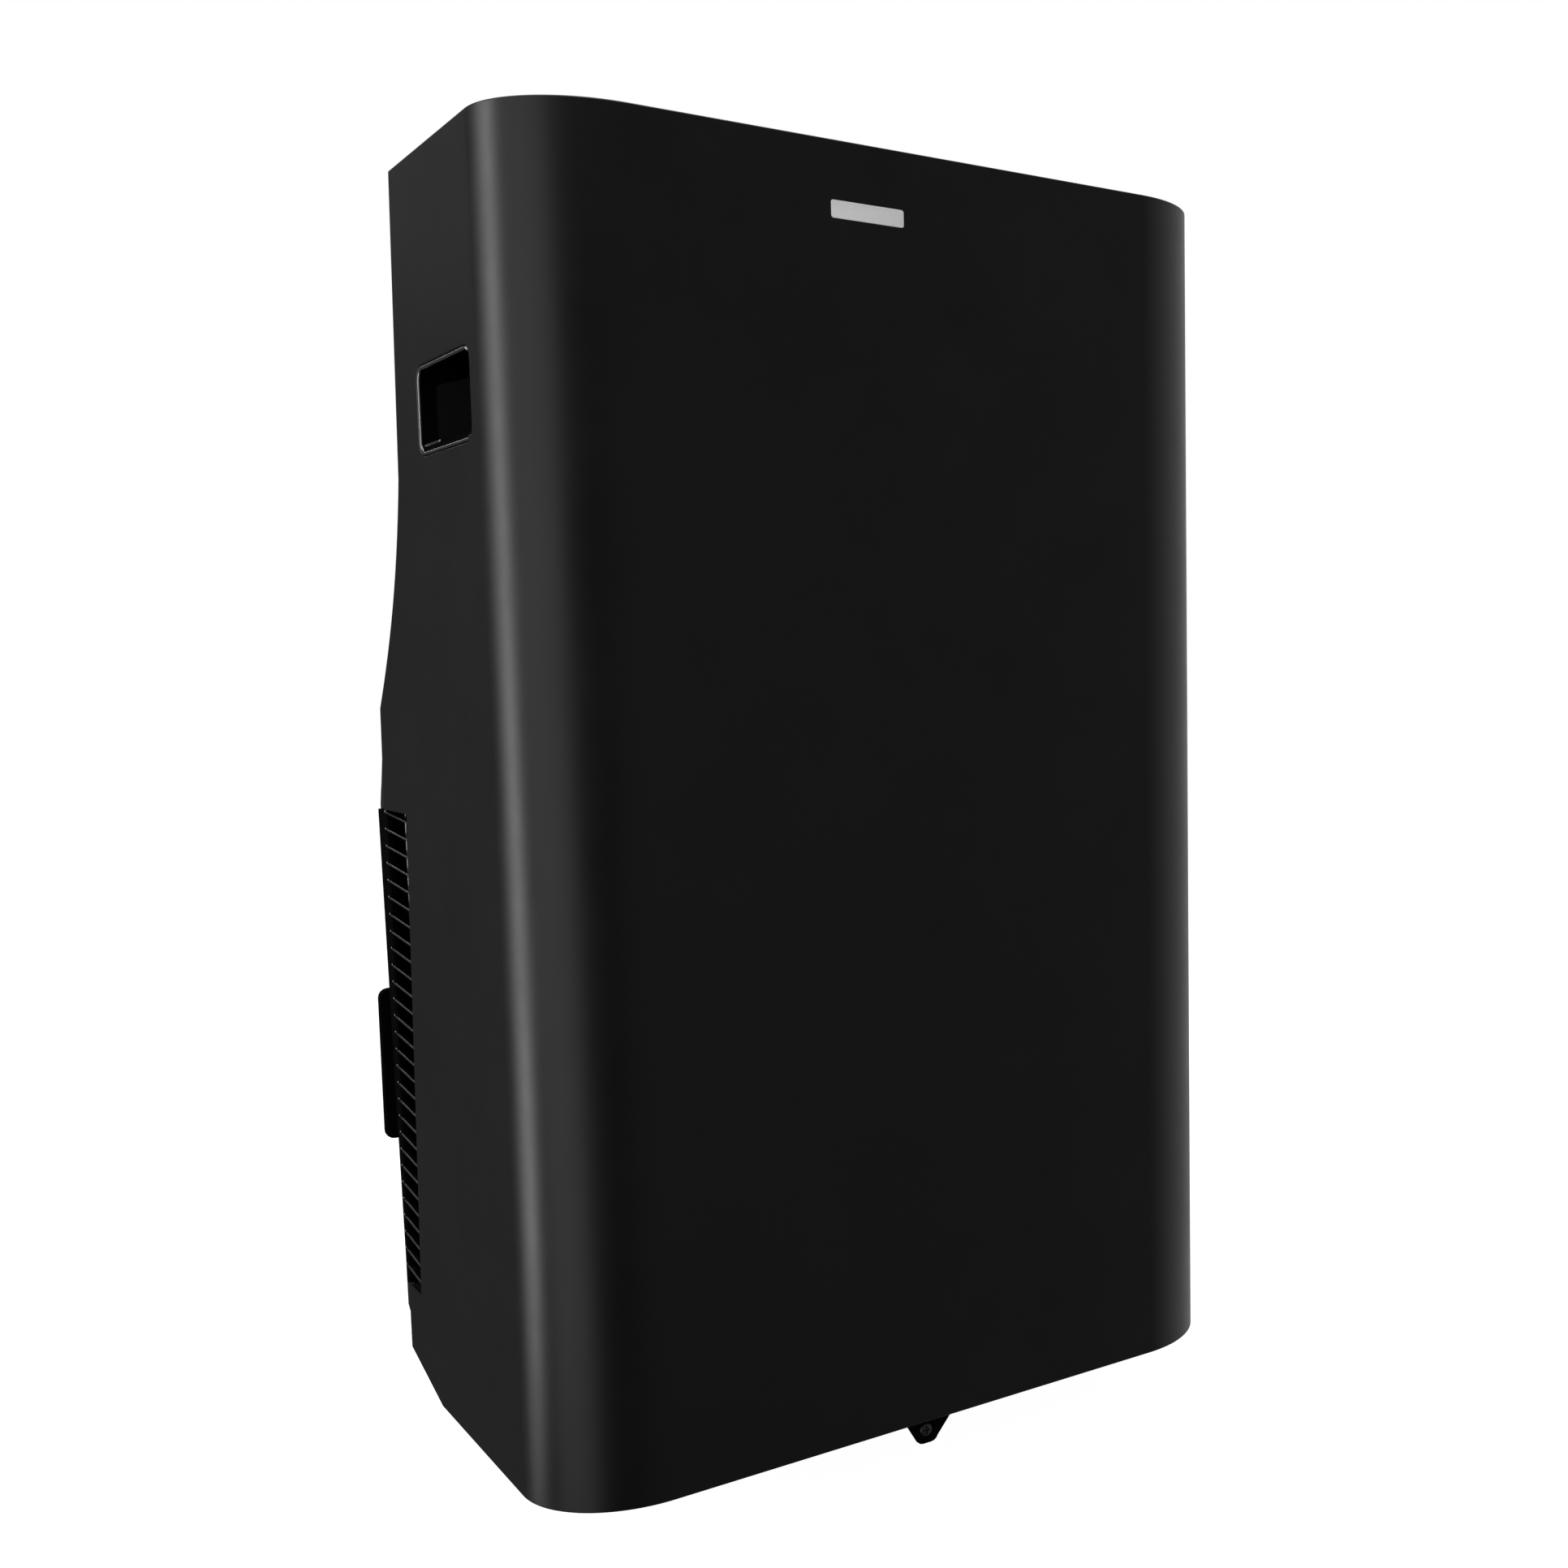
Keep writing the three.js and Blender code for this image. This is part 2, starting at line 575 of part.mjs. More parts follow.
function rearCoverLower() {
  const front = LOWER_FRONT_Y;
  const inside = front - OVER;
  const outer = prismX(lowerBackProfile(front, 0, 0), ACROSS).intersect(rearPlan(0, front));
  const inner = prismX(lowerBackProfile(inside, WALL, 1), ACROSS).intersect(rearPlan(WALL, inside));
  const bottom = block(ACROSS, [inside, PAN.rear + 1], [0, NOTCH_LOW_Z]);
  const openBottom = rearPlan(WALL, inside).intersect(bottom);
  const filterHole = block(...filterOpening(LOWER_FILTER, [TAPER_START_Y, DEPTH]));
  const frontEdge = block(ACROSS, [inside, LOWER_LAP_Y.low], [0, NOTCH_LOW_Z]);
  const topEdge = block(ACROSS, [inside, LOWER_LAP_Y.high], [NOTCH_TOP_Z, HEIGHT]);
  const drain = barY(LOWER_DRAIN.x, LOWER_DRAIN.z, DRAIN_HOLE, [TAPER_START_Y, DEPTH], KNOB);
  const gland = barY(CORD_INLET.x, CORD_INLET.z, GLAND.hole, [TAPER_START_Y, DEPTH], KNOB);
  const wing = cornerWing();
  const shell = join(cut(outer, inner, openBottom, filterHole, frontEdge, topEdge), wing, mirrored(wing));
  return cut(shell, drain, gland, ...cornerSlots());
}

function cornerSlots() {
  const count = Math.floor((NOTCH_TOP_Z - NOTCH_LOW_Z - 2 * SLOT.margin) / SLOT.pitch);
  return range(count).flatMap((index) => {
    const top = NOTCH_TOP_Z - WALL - index * SLOT.pitch;
    const y = [notchEdge(top) + SLOT.margin, SLOT.endY];
    const slot = block([-HALF - OVER, -HALF + SLOT.depth], y, [top - SLOT.height, top]);
    return [slot, mirrored(slot)];
  });
}

// A removable filter frame: a border and ribs in one plane, with a finger tab.
function filterPanel({ half, height, thickness, columns, rows }) {
  const { border, rib, tabHalf, tabReach, tabDrop } = FILTER;
  const wide = (2 * (half - border) - rib * (columns - 1)) / columns;
  const tall = (height - 2 * border - rib * (rows - 1)) / rows;
  const windows = range(columns * rows).map((index) => {
    const x = -half + border + (index % columns) * (wide + rib);
    const z = border + Math.floor(index / columns) * (tall + rib);
    return block([x, x + wide], spread([0, thickness], OVER), [z, z + tall]);
  });
  const plate = block([-half, half], [0, thickness], [0, height]);
  const tabZ = [height - tabDrop[0], height - tabDrop[1]];
  const tab = block([-tabHalf, tabHalf], [thickness - 1, thickness + tabReach], tabZ);
  return cut(plate, ...windows).add(tab);
}

function filterInPlace(filter, tilt) {
  return filterPanel(filter).rotate([tilt, 0, 0]).translate([0, filter.y, filter.z]);
}

// Limits of the opening that a filter fills, along x, y and z.
function filterOpening({ half, height, z }, y) {
  return [around(0, half + FILTER_GAP), y, spread([z, z + height], FILTER_GAP)];
}

// The space inside the leaning lower back face, with the usual gap added.
function insideBack() {
  const slope = (BACK_EDGE.y - BACK_FOOT.y) / (BACK_EDGE.z - BACK_FOOT.z);
  const foot = BACK_FOOT.y - BACK_FOOT.z * slope + FIT;
  return prismX([
    [0, 0],
    [foot, 0],
    [foot + slope * HEIGHT, HEIGHT],
    [0, HEIGHT],
  ], ACROSS);
}

function cordCleat() {
  const footZ = spread(CLEAT_Z, -CLEAT.footMargin);
  const arm = block(CLEAT.arm, CLEAT_Y.arm, CLEAT_Z);
  const lip = prismY(roundedBox(CLEAT.lip, CLEAT_Z, CLEAT_Y.lipRadius), [CLEAT_Y.lip, DEPTH]);
  const foot = prismY(roundedBox(CLEAT.foot, footZ, CLEAT_Y.footRadius), CLEAT_Y.foot);
  return join(arm, lip, foot).subtract(insideBack());
}

function exhaustCollar() {
  const { x, z, radius, wall, y } = PORT;
  const flangeSpan = [BOSS.back + FIT, BOSS.back + COLLAR.flangeThickness];
  const beadSpan = COLLAR.beadFromEnd.map((step) => y[1] - step);
  const sleeve = barY(x, z, radius + wall, y, LARGE);
  const flange = barY(x, z, radius + COLLAR.flange, flangeSpan, LARGE);
  const bead = barY(x, z, radius + wall + COLLAR.bead, beadSpan, LARGE);
  const bore = barY(x, z, radius, spread(y, OVER), LARGE);
  return cut(join(sleeve, flange, bead), bore);
}

function basePan() {
  const slope = (HEEL.z - PAN.heelDrop) / (HEEL.y - HEEL_FRONT_Y);
  const bendY = HEEL_FRONT_Y - PAN.low;
  const profile = (inset, rear, top) => [
    [0, PAN.low + inset],
    [bendY, PAN.low + inset],
    [rear, PAN.low + inset + (rear - bendY) * slope],
    [rear, top],
    [0, top],
  ];
  const hull = (inset) => {
    const margin = WALL + FIT + inset;
    return planSolid(margin, [0, PAN.ribHeight], DEPTH, INNER_SEGMENTS).intersect(rearPlan(margin, -OVER));
  };
  const outer = prismX(profile(0, PAN.rear, PAN.rim), ACROSS).intersect(hull(0));
  const inner = prismX(profile(WALL, PAN.rear - WALL, PAN.rim + OVER), ACROSS).intersect(hull(WALL));
  const spots = casterPlaces().map(([, x, y]) => [x, y]);
  const roof = POCKET_CEILING + WALL;
  const raised = spots.map(([x, y]) => barZ(x, y, POCKET_RADIUS + WALL, [PAN.low + WALL, roof], ROUND));
  const pockets = spots.map(([x, y]) => barZ(x, y, POCKET_RADIUS, [-OVER, POCKET_CEILING], ROUND));
  const sockets = spots.map(([x, y]) => barZ(x, y, STEM_SOCKET, [POCKET_CEILING - 1, roof + 1], ROD));
  const post = barZ(FLOAT.x, FLOAT.y, FLOAT.post, FLOAT.postZ, ROD);
  const drainHole = barY(LOWER_DRAIN.x, LOWER_DRAIN.z, DRAIN_HOLE, [TAPER_START_Y, DEPTH], KNOB);
  return cut(join(outer.subtract(inner), ...raised, post), ...pockets, ...sockets, drainHole);
}

// The tongue behind the middle of the front panel's lower edge, and the screw through it.
function frontTab() {
  const { half, topZ, lowX, endX, shoulderZ, lowZ, y } = TAB;
  const outline = new THREE.Shape();
  outline.moveTo(-half, topZ);
  outline.lineTo(lowX[0], shoulderZ);
  outline.quadraticCurveTo(middle([lowX[0], endX[0]]), lowZ, endX[0], lowZ);
  outline.lineTo(endX[1], lowZ);
  outline.quadraticCurveTo(middle([lowX[1], endX[1]]), lowZ, lowX[1], shoulderZ);
  outline.lineTo(half, topZ);
  const hole = barY(TAB_SCREW.x, TAB_SCREW.z, TAB_SCREW.hole, spread(y, 1), KNOB);
  return cut(prismY(outline, y), hole);
}

function tabScrew() {
  const { x, z, head, headY, shank, end } = TAB_SCREW;
  return join(barY(x, z, head, headY, ROUND), barY(x, z, shank, [middle(headY), end], KNOB));
}

function drainCap({ x, z, back }) {
  const { head, headThickness, plug, plugDepth, wingHalf, wing, wingReach } = DRAIN_CAP;
  return join(
    barY(x, z, head, [back + FIT, back + headThickness], ROUND),
    barY(x, z, plug, [back - plugDepth, back + 1], KNOB),
    block(around(x, wingHalf), [back + wing[0], back + wing[1]], around(z, wingReach)),
  );
}

function cordGland() {
  const { x, z, back } = CORD_INLET;
  const end = back + GLAND.headThickness;
  const body = join(
    barY(x, z, GLAND.head, [back, end], ROUND),
    barY(x, z, GLAND.body, [back - GLAND.depth, back + 1], KNOB),
  );
  return body.subtract(barY(x, z, GLAND.bore, spread([back - GLAND.depth, end], OVER), ROD));
}

// ---- Casters ----
function casterPlaces() {
  return [
    ['front_left', -CASTER_X, CASTER_FRONT_Y],
    ['front_right', CASTER_X, CASTER_FRONT_Y],
    ['rear_left', -CASTER_X, CASTER_REAR_Y],
    ['rear_right', CASTER_X, CASTER_REAR_Y],
  ];
}

function casterFork(x, y) {
  const { plate, plateThickness, stem, stemTop, shoulder, cheek, gap, eye, heel } = FORK;
  const axleY = y + CASTER_TRAIL;
  const top = POCKET_CEILING - FIT;
  const half = WHEEL_WIDTH / 2;
  const root = top - plateThickness + 1;
  const near = x + half + gap;
  const side = prismX([
    [y - shoulder, root],
    [axleY - eye, WHEEL_Z - eye],
    [axleY + eye, WHEEL_Z - eye],
    [axleY + heel, WHEEL_Z + eye - 1],
    [y + shoulder, root],
  ], [near, near + cheek]);
  return join(
    barZ(x, y, plate, [top - plateThickness, top], ROUND),
    barZ(x, y, stem, [top - 1, POCKET_CEILING + stemTop], ROD),
    side,
    side.translate([-WHEEL_WIDTH - 2 * gap - cheek, 0, 0]),
    barX(axleY, WHEEL_Z, AXLE, around(x, half + gap + 1), ROD),
  );
}

function casterWheel(x, y) {
  const half = WHEEL_WIDTH / 2;
  const tread = half - WHEEL_EDGE.along;
  const shoulder = WHEEL_RADIUS - WHEEL_EDGE.in;
  const side = [[HUB_BORE, half], [shoulder, half], [WHEEL_RADIUS, tread]];
  const otherSide = side.map(([radius, along]) => [radius, -along]).reverse();
  const profile = [...side, ...otherSide, side[0]].reverse();
  const points = profile.map(([radius, along]) => new THREE.Vector2(radius, along));
  const geometry = new THREE.LatheGeometry(points, LARGE).rotateZ(-Math.PI / 2);
  return solidFrom(geometry.translate(x, y + CASTER_TRAIL, WHEEL_Z));
}

// ---- Top outlet ----
const vanePlaces = () => centred(VANE_COUNT, VANE_SPACING);

function louvreFlap() {
  const wide = spread([-OUTLET.x, OUTLET.x], -FLAP.gap);
  const front = OUTLET.y[0] + FLAP.gap;
  const under = TOP_FACE_Z - FLAP.thickness;
  const { y, z } = FLAP_AXIS;
  const lid = block(wide, [front, y], [under, TOP_FACE_Z]);
  const lip = block(wide, [front, front + FLAP.lipWidth], [TOP_FACE_Z - FLAP.lipDepth, under + 1]);
  const barrel = barX(y, z, FLAP.barrel, wide, SMOOTH);
  const socket = barX(y, z, FLAP.socket, [wide[1] - FLAP.socketDepth, wide[1] + 1], KNOB);
  const pin = barX(y, z, FLAP.pin, [wide[0] - FLAP.socketDepth / 2, wide[0] + 1], KNOB);
  return join(lid, lip, barrel, pin).subtract(socket);
}

function louvreMotor() {
  const x = OUTLET.x + OUTLET.wall + FLAP_MOTOR.gap;
  const { y, z } = FLAP_AXIS;
  const earZ = FLAP_MOTOR.earDrop.map((drop) => z - drop);
  return join(
    barX(y, z - FLAP_MOTOR.drop, FLAP_MOTOR.radius, [x, x + FLAP_MOTOR.length], SMOOTH),
    barX(y, z, FLAP_MOTOR.shaft, [OUTLET.x - FLAP_MOTOR.drop, x + 1], KNOB),
    block([x, x + FLAP_MOTOR.ear], around(y, FLAP_MOTOR.earHalf), earZ),
  );
}

function guideVane(x) {
  const thickness = around(x, VANE.halfThickness);
  const blade = block(thickness, spread(OUTLET.y, -VANE.sideGap), around(VANE_AXIS_Z, VANE.halfHeight));
  const pins = barY(x, VANE_AXIS_Z, VANE.pin, spread(OUTLET.y, VANE.pinReach), PIN);
  const crank = block(thickness, CRANK.y, [CRANK_Z - CRANK.low, VANE_AXIS_Z - CRANK.high]);
  const crankPin = barY(x, CRANK_Z, CRANK.pin, CRANK.pinY, PIN);
  return join(blade, pins, crank, crankPin);
}

function vaneLink() {
  const end = vanePlaces()[VANE_COUNT - 1] + LINK.endMargin;
  const rail = block([-end, end], LINK.y, [CRANK_Z - LINK.low, CRANK_Z + LINK.high]);
  const notchZ = [CRANK_Z - LINK.slotLow, CRANK_Z + LINK.slotHigh];
  const notches = vanePlaces().map((x) => block(around(x, LINK.slotHalf), spread(LINK.y, 1), notchZ));
  return cut(rail, ...notches);
}

// ---- Controls ----
const buttonPlaces = () => centred(CONTROLS.count, CONTROLS.spacing);

function controlPanel() {
  const x = [-CONTROLS.x, CONTROLS.x];
  const shape = roundedBox(spread(x, -FIT), spread(CONTROLS.y, -FIT), CONTROLS.radius);
  const plate = prismZ(shape, [PLATE_LOW_Z, TOP_FACE_Z + CONTROLS.proud]);
  const flange = block(spread(x, -CONTROLS.flange), spread(CONTROLS.y, -CONTROLS.flange), CONTROLS.flangeZ);
  const through = [BUTTON.flangeZ[0], TOP_FACE_Z + OVER];
  const holes = buttonPlaces().map((place) => {
    return barZ(place, CONTROLS.buttonY, BUTTON.radius + FIT, through, KNOB);
  });
  return cut(plate.add(flange), ...holes);
}

function pushButton(x) {
  const cap = barZ(x, CONTROLS.buttonY, BUTTON.radius, [BUTTON.lowZ, BUTTON.topZ], KNOB);
  const flange = barZ(x, CONTROLS.buttonY, BUTTON.radius + BUTTON.flange, BUTTON.flangeZ, KNOB);
  return cap.add(flange);
}

function displayBoard() {
  const board = block([-BOARD.x, BOARD.x], BOARD.y, BOARD.z);
  const base = BOARD.z[1] - FIT;
  const switchY = around(CONTROLS.buttonY, BOARD.switchHalf);
  const switches = buttonPlaces().map((x) => {
    return block(around(x, BOARD.switchHalf), switchY, [base, BOARD.switchTop]);
  });
  const display = block([-DISPLAY.x, DISPLAY.x], DISPLAY.y, [base, DISPLAY.top]);
  return join(board, display, ...switches);
}

// ---- Air path ----
// A blower scroll: its radius grows from the tongue round to the throat, which leaves upwards.
function scrollOutline(fan, inset, tongue, grow, throat, top) {
  const shape = new THREE.Shape();
  const start = Math.PI * tongue;
  const base = fan.wheel + SCROLL.gap - inset;
  const points = range(SCROLL.steps + 1).map((step) => {
    const share = step / SCROLL.steps;
    const angle = start + (Math.PI * 2 - start) * share;
    const radius = base + grow * share;
    return [fan.x + radius * Math.cos(angle), fan.z + radius * Math.sin(angle)];
  });
  shape.moveTo(...points[0]);
  points.slice(1).forEach((point) => shape.lineTo(...point));
  shape.lineTo(fan.x + base + grow, top);
  shape.lineTo(throat + inset, top);
  return shape;
}

// The scroll's inlet faces the back; its front wall has a hole for the motor's shaft.
function scrollHoles(fan) {
  return [
    barY(fan.x, fan.z, fan.inner, around(fan.y[1], DUCT_WALL + OVER), LARGE),
    barY(fan.x, fan.z, SCROLL.shaftHole, around(fan.y[0], DUCT_WALL + OVER), ROD),
  ];
}

function coldScroll() {
  const { tongue, grow, top, innerTop, hoodLow, hoodBack } = COLD_SCROLL;
  const throat = COLD_FAN.x - COLD_SCROLL.throat;
  const outline = (inset, end) => scrollOutline(COLD_FAN, inset, tongue, grow, throat, end);
  const outer = prismY(outline(0, top), COLD_FAN.y);
  const inner = prismY(outline(DUCT_WALL, innerTop), spread(COLD_FAN.y, -DUCT_WALL));
  const hoodX = spread([-OUTLET.x, OUTLET.x], OUTLET.wall);
  const hoodY = [OUTLET.y[0] - OUTLET.wall, hoodBack];
  const hood = block(hoodX, hoodY, [hoodLow, OUTLET.skirtBottom - FIT]);
  const hoodRoomZ = [hoodLow + DUCT_WALL, OUTLET.skirtBottom + OVER];
  const hoodRoom = block(spread(hoodX, -DUCT_WALL), spread(hoodY, -DUCT_WALL), hoodRoomZ);
  return cut(outer.add(hood), inner, hoodRoom, ...scrollHoles(COLD_FAN));
}

function hotScroll() {
  const { tongue, throat, outerX } = HOT_SCROLL;
  const grow = outerX - HOT_FAN.x - HOT_FAN.wheel - SCROLL.gap;
  const outline = (inset) => scrollOutline(HOT_FAN, inset, tongue, grow, throat, DUCT_TOP - inset);
  const outer = prismY(outline(0), HOT_FAN.y);
  const inner = prismY(outline(DUCT_WALL), spread(HOT_FAN.y, -DUCT_WALL));
  const port = barY(PORT.x, PORT.z, PORT.radius, around(HOT_FAN.y[1], DUCT_WALL + OVER), SMOOTH);
  return cut(outer, inner, port, ...scrollHoles(HOT_FAN));
}

// A forward-curved blower wheel: a hub disc, a ring of blades and an end ring.
function blowerWheel(fan, blades) {
  const { gap, disc, hub, hubLength, ring, ringWidth, bladeSet, bladeDrop, bore } = WHEEL;
  const [front, back] = spread(fan.y, -gap);
  const plate = barY(fan.x, fan.z, fan.wheel, [front, front + disc], FAN_ROUND);
  const boss = barY(fan.x, fan.z, hub, [front, front + hubLength], KNOB);
  const rim = barY(fan.x, fan.z, fan.wheel, [back - ring, back], FAN_ROUND);
  const rimHole = barY(fan.x, fan.z, fan.wheel - ringWidth, spread([back - ring, back], OVER), FAN_ROUND);
  const reach = [fan.wheel - ringWidth, fan.wheel - 2];
  const blade = block(reach, [front + 1, back - 1], [-1, 1]).rotate([0, bladeSet, 0]);
  const crown = range(blades).map((index) => {
    const turn = [0, (index * 360) / blades, 0];
    return blade.translate([0, 0, bladeDrop]).rotate(turn).translate([fan.x, 0, fan.z]);
  });
  const hole = barY(fan.x, fan.z, bore, [front - 1, front + hubLength + OVER], ROD);
  return join(plate, boss, rim.subtract(rimHole), ...crown).subtract(hole);
}

function fanMotor(fan, { radius, length }) {
  const back = fan.y[0] - MOTOR.gap;
  return join(
    barY(fan.x, fan.z, radius, [back - length, back - MOTOR.nose], LARGE),
    barY(fan.x, fan.z, radius * MOTOR.noseShare, [back - length - MOTOR.tail, back], ROUND),
    barY(fan.x, fan.z, MOTOR.shaft, [back - 1, fan.y[0] + MOTOR.shaftReach], ROD),
  );
}

function finCoil({ x, y, z }) {
  const { plate, plateRim, bends, tube: radius, bendRadius, neck, reach } = COIL;
  const starts = [x[0] - plate, x[1]];
  const rim = [spread(y, plateRim[0]), spread(z, plateRim[1])];
  const plates = starts.map((start) => block([start, start + plate], ...rim));
  const gap = (z[1] - z[0]) / bends;
  const centre = middle(y);
  const out = x[1] + 1;
  const hairpins = range(bends).map((index) => {
    const bendZ = z[0] + gap * (index + 1 / 2);
    const [low, high] = around(bendZ, bendRadius);
    const points = [[out, low], [out + neck, low], [out + reach, bendZ], [out + neck, high], [out, high]];
    return tube({ route: points.map(([across, height]) => [across, centre, height]), radius, steps: 6 });
  });
  return join(block(x, y, z), ...plates, ...hairpins);
}

function drainTray() {
  const { low, floor, rim, rear, spout } = TRAY;
  const outer = planSolid(2 * WALL, [low, rim], rear, INNER_SEGMENTS);
  const inner = planSolid(3 * WALL, [floor, rim + OVER], rear - WALL, INNER_SEGMENTS);
  const pipe = barZ(spout.x, spout.y, spout.radius, [low - spout.drop, floor], ROUND);
  const bore = barZ(spout.x, spout.y, spout.bore, [low - spout.drop - OVER, rim], ROD);
  return cut(outer, inner).add(pipe).subtract(bore);
}

// ---- Refrigeration ----
function compressor() {
  const { x, y, radius, z } = COMPRESSOR;
  const [low, high] = z;
  const can = turned(x, y, [
    [0, low + CAN.rimLow],
    [radius - CAN.cornerIn, low + CAN.rimLow],
    [radius, low + CAN.cornerUp],
    [radius, high - CAN.shoulderDown],
    [radius - CAN.neckIn, high - CAN.neckDown],
    [radius - CAN.capIn, high - CAN.capDown],
    [0, high - CAN_TOP],
  ], LARGE);
  const feet = range(CAN_FEET.count).map((index) => {
    const angle = (index * Math.PI * 2) / CAN_FEET.count + Math.PI / 6;
    const [footX, footY] = [x + CAN_FEET.at * Math.cos(angle), y + CAN_FEET.at * Math.sin(angle)];
    const pad = barZ(footX, footY, CAN_FEET.pad, [low, low + CAN_FEET.padThickness], ROUND);
    return pad.add(barZ(footX, footY, CAN_FEET.rubber, [low - CAN_FEET.drop, low + CAN_FEET.rise], ROD));
  });
  const plate = barZ(x, y, CAN_PLATE.radius, [low, low + CAN_PLATE.height], ROUND);
  const terminalZ = [high - TERMINAL.down, high + TERMINAL.up];
  const terminal = block(around(x, TERMINAL.halfX), around(y, TERMINAL.halfY), terminalZ);
  return join(can, plate, terminal, ...feet);
}

function accumulator() {
  const { x, y, radius, z, endIn, endUp, corner } = ACCUMULATOR;
  const [low, high] = z;
  return turned(x, y, [
    [0, low],
    [radius - endIn, low + endUp],
    [radius, low + corner],
    [radius, high - corner],
    [radius - endIn, high - endUp],
    [0, high],
  ], ROUND);
}

// ---- Control box and water handling ----
function controlBox() {
  const outer = block(BOX.x, BOX.y, BOX.z);
  const inner = block(spread(BOX.x, -BOX.wall), spread(BOX.y, -BOX.wall), spread(BOX.z, -BOX.wall));
  const lid = block(BOX_LID.x, BOX_LID.y, BOX_LID.z);
  const vents = range(BOX_VENT.count).map((index) => {
    const low = BOX_VENT.low + index * BOX_VENT.pitch;
    return block([BOX_LID.x[0] - OVER, BOX.x[0] + BOX.wall + OVER], BOX_VENT.y, [low, low + BOX_VENT.height]);
  });
  return cut(outer.add(lid), inner, ...vents);
}

function splashMotor() {
  const { radius, x, shaft, shaftEnd, footX, footHalf, footZ } = SPLASH_MOTOR;
  return join(
    barX(SPLASH.y, SPLASH.z, radius, x, ROUND),
    barX(SPLASH.y, SPLASH.z, shaft, [x[1] - 1, shaftEnd], ROD),
    block(footX, around(SPLASH.y, footHalf), footZ),
  );
}

function splashWheel() {
  const { y, z, radius, hub, bore, discX, hubX } = SPLASH;
  const wheel = join(barX(y, z, radius, discX, LARGE), barX(y, z, hub, hubX, KNOB));
  return wheel.subtract(barX(y, z, bore, spread(hubX, OVER), ROD));
}

function waterFloat() {
  const { x, y, radius, z, bore } = FLOAT;
  return barZ(x, y, radius, z, ROUND).subtract(barZ(x, y, bore, spread(z, OVER), ROD));
}

// ---- Assembly ----
addNode('front_panel', frontPanel(), SHELL_BLACK);
addNode('top_cover', topCover(), SHELL_BLACK);
addNode('rear_cover_upper', rearCoverUpper(), REAR_BLACK);
addNode('rear_cover_lower', rearCoverLower(), REAR_BLACK);

const upperTilt = degrees(BACK_HIP_Y - BACK_TOP_Y, TOP_FACE_Z - HIP_TOP.z);
const lowerTilt = degrees(BACK_EDGE.y - BACK_FOOT.y, BACK_EDGE.z - BACK_FOOT.z);
addNode('upper_filter', filterInPlace(UPPER_FILTER, upperTilt), REAR_BLACK);
addNode('lower_filter', filterInPlace(LOWER_FILTER, -lowerTilt), REAR_BLACK);

const pocket = gripPocket();
addNode('handle_pocket_left', pocket, GLOSS_BLACK);
addNode('handle_pocket_right', mirrored(pocket), GLOSS_BLACK);
const cleat = cordCleat();
addNode('cord_cleat_left', cleat, REAR_BLACK);
addNode('cord_cleat_right', mirrored(cleat), REAR_BLACK);
addNode('exhaust_collar', exhaustCollar(), REAR_BLACK);
addNode('base_pan', basePan(), ZINC);
addNode('front_tab', frontTab(), REAR_BLACK);
addNode('tab_screw', tabScrew(), BARE_STEEL);
addNode('upper_drain_cap', drainCap(UPPER_DRAIN), RUBBER_BLACK);
addNode('lower_drain_cap', drainCap(LOWER_DRAIN), RUBBER_BLACK);
addNode('cord_gland', cordGland(), RUBBER_BLACK);

casterPlaces().forEach(([place, x, y]) => {
  addNode(`caster_fork_${place}`, casterFork(x, y), FAN_BLACK);
  addNode(`caster_wheel_${place}`, casterWheel(x, y), SOFT_GREY);
});

addNode('louvre_flap', louvreFlap(), SHELL_BLACK);
addNode('louvre_motor', louvreMotor(), DUCT_WHITE);
vanePlaces().forEach((x, index) => addNode(`guide_vane_${index + 1}`, guideVane(x), FAN_BLACK));
addNode('vane_link', vaneLink(), FAN_BLACK);

addNode('control_panel', controlPanel(), GLOSS_BLACK);
buttonPlaces().forEach((x, index) => addNode(`button_${index + 1}`, pushButton(x), SOFT_GREY));
addNode('display_board', displayBoard(), BOARD_GREEN);

addNode('evaporator_coil', finCoil(COLD_COIL), FIN_ALUMINIUM);
addNode('evaporator_scroll', coldScroll(), FOAM_WHITE);
addNode('evaporator_wheel', blowerWheel(COLD_FAN, COLD_BLADES), FAN_BLACK);
addNode('evaporator_motor', fanMotor(COLD_FAN, COLD_MOTOR), ZINC);
addNode('drain_tray', drainTray(), DUCT_WHITE);

addNode('condenser_coil', finCoil(HOT_COIL), FIN_ALUMINIUM);
addNode('condenser_scroll', hotScroll(), DUCT_WHITE);
addNode('condenser_wheel', blowerWheel(HOT_FAN, HOT_BLADES), FAN_BLACK);
addNode('condenser_motor', fanMotor(HOT_FAN, HOT_MOTOR), ZINC);

addNode('compressor', compressor(), COMPRESSOR_BLACK);
addNode('accumulator', accumulator(), COMPRESSOR_BLACK);
addNode('discharge_pipe', tube(DISCHARGE_PIPE), COPPER);
addNode('suction_pipe', tube(SUCTION_PIPE), COPPER);
addNode('capillary_pipe', tube(CAPILLARY_PIPE), COPPER);

addNode('control_box', controlBox(), ZINC);
addNode('splash_motor', splashMotor(), DUCT_WHITE);
addNode('splash_wheel', splashWheel(), FAN_BLACK);
addNode('water_float', waterFloat(), FOAM_WHITE);

const airConditioner = new THREE.Group();
airConditioner.add(cabinet);
export default airConditioner;
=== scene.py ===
"""Looks of a portable room air conditioner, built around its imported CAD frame.

Shapes are given in millimetres in the cabinet's own axes: x from its middle, y back from its
front face, z up from its lower edge. spot() turns them into metres in the shared frame.
"""
import json
import math

import bmesh
import bpy
from mathutils import Matrix, Vector


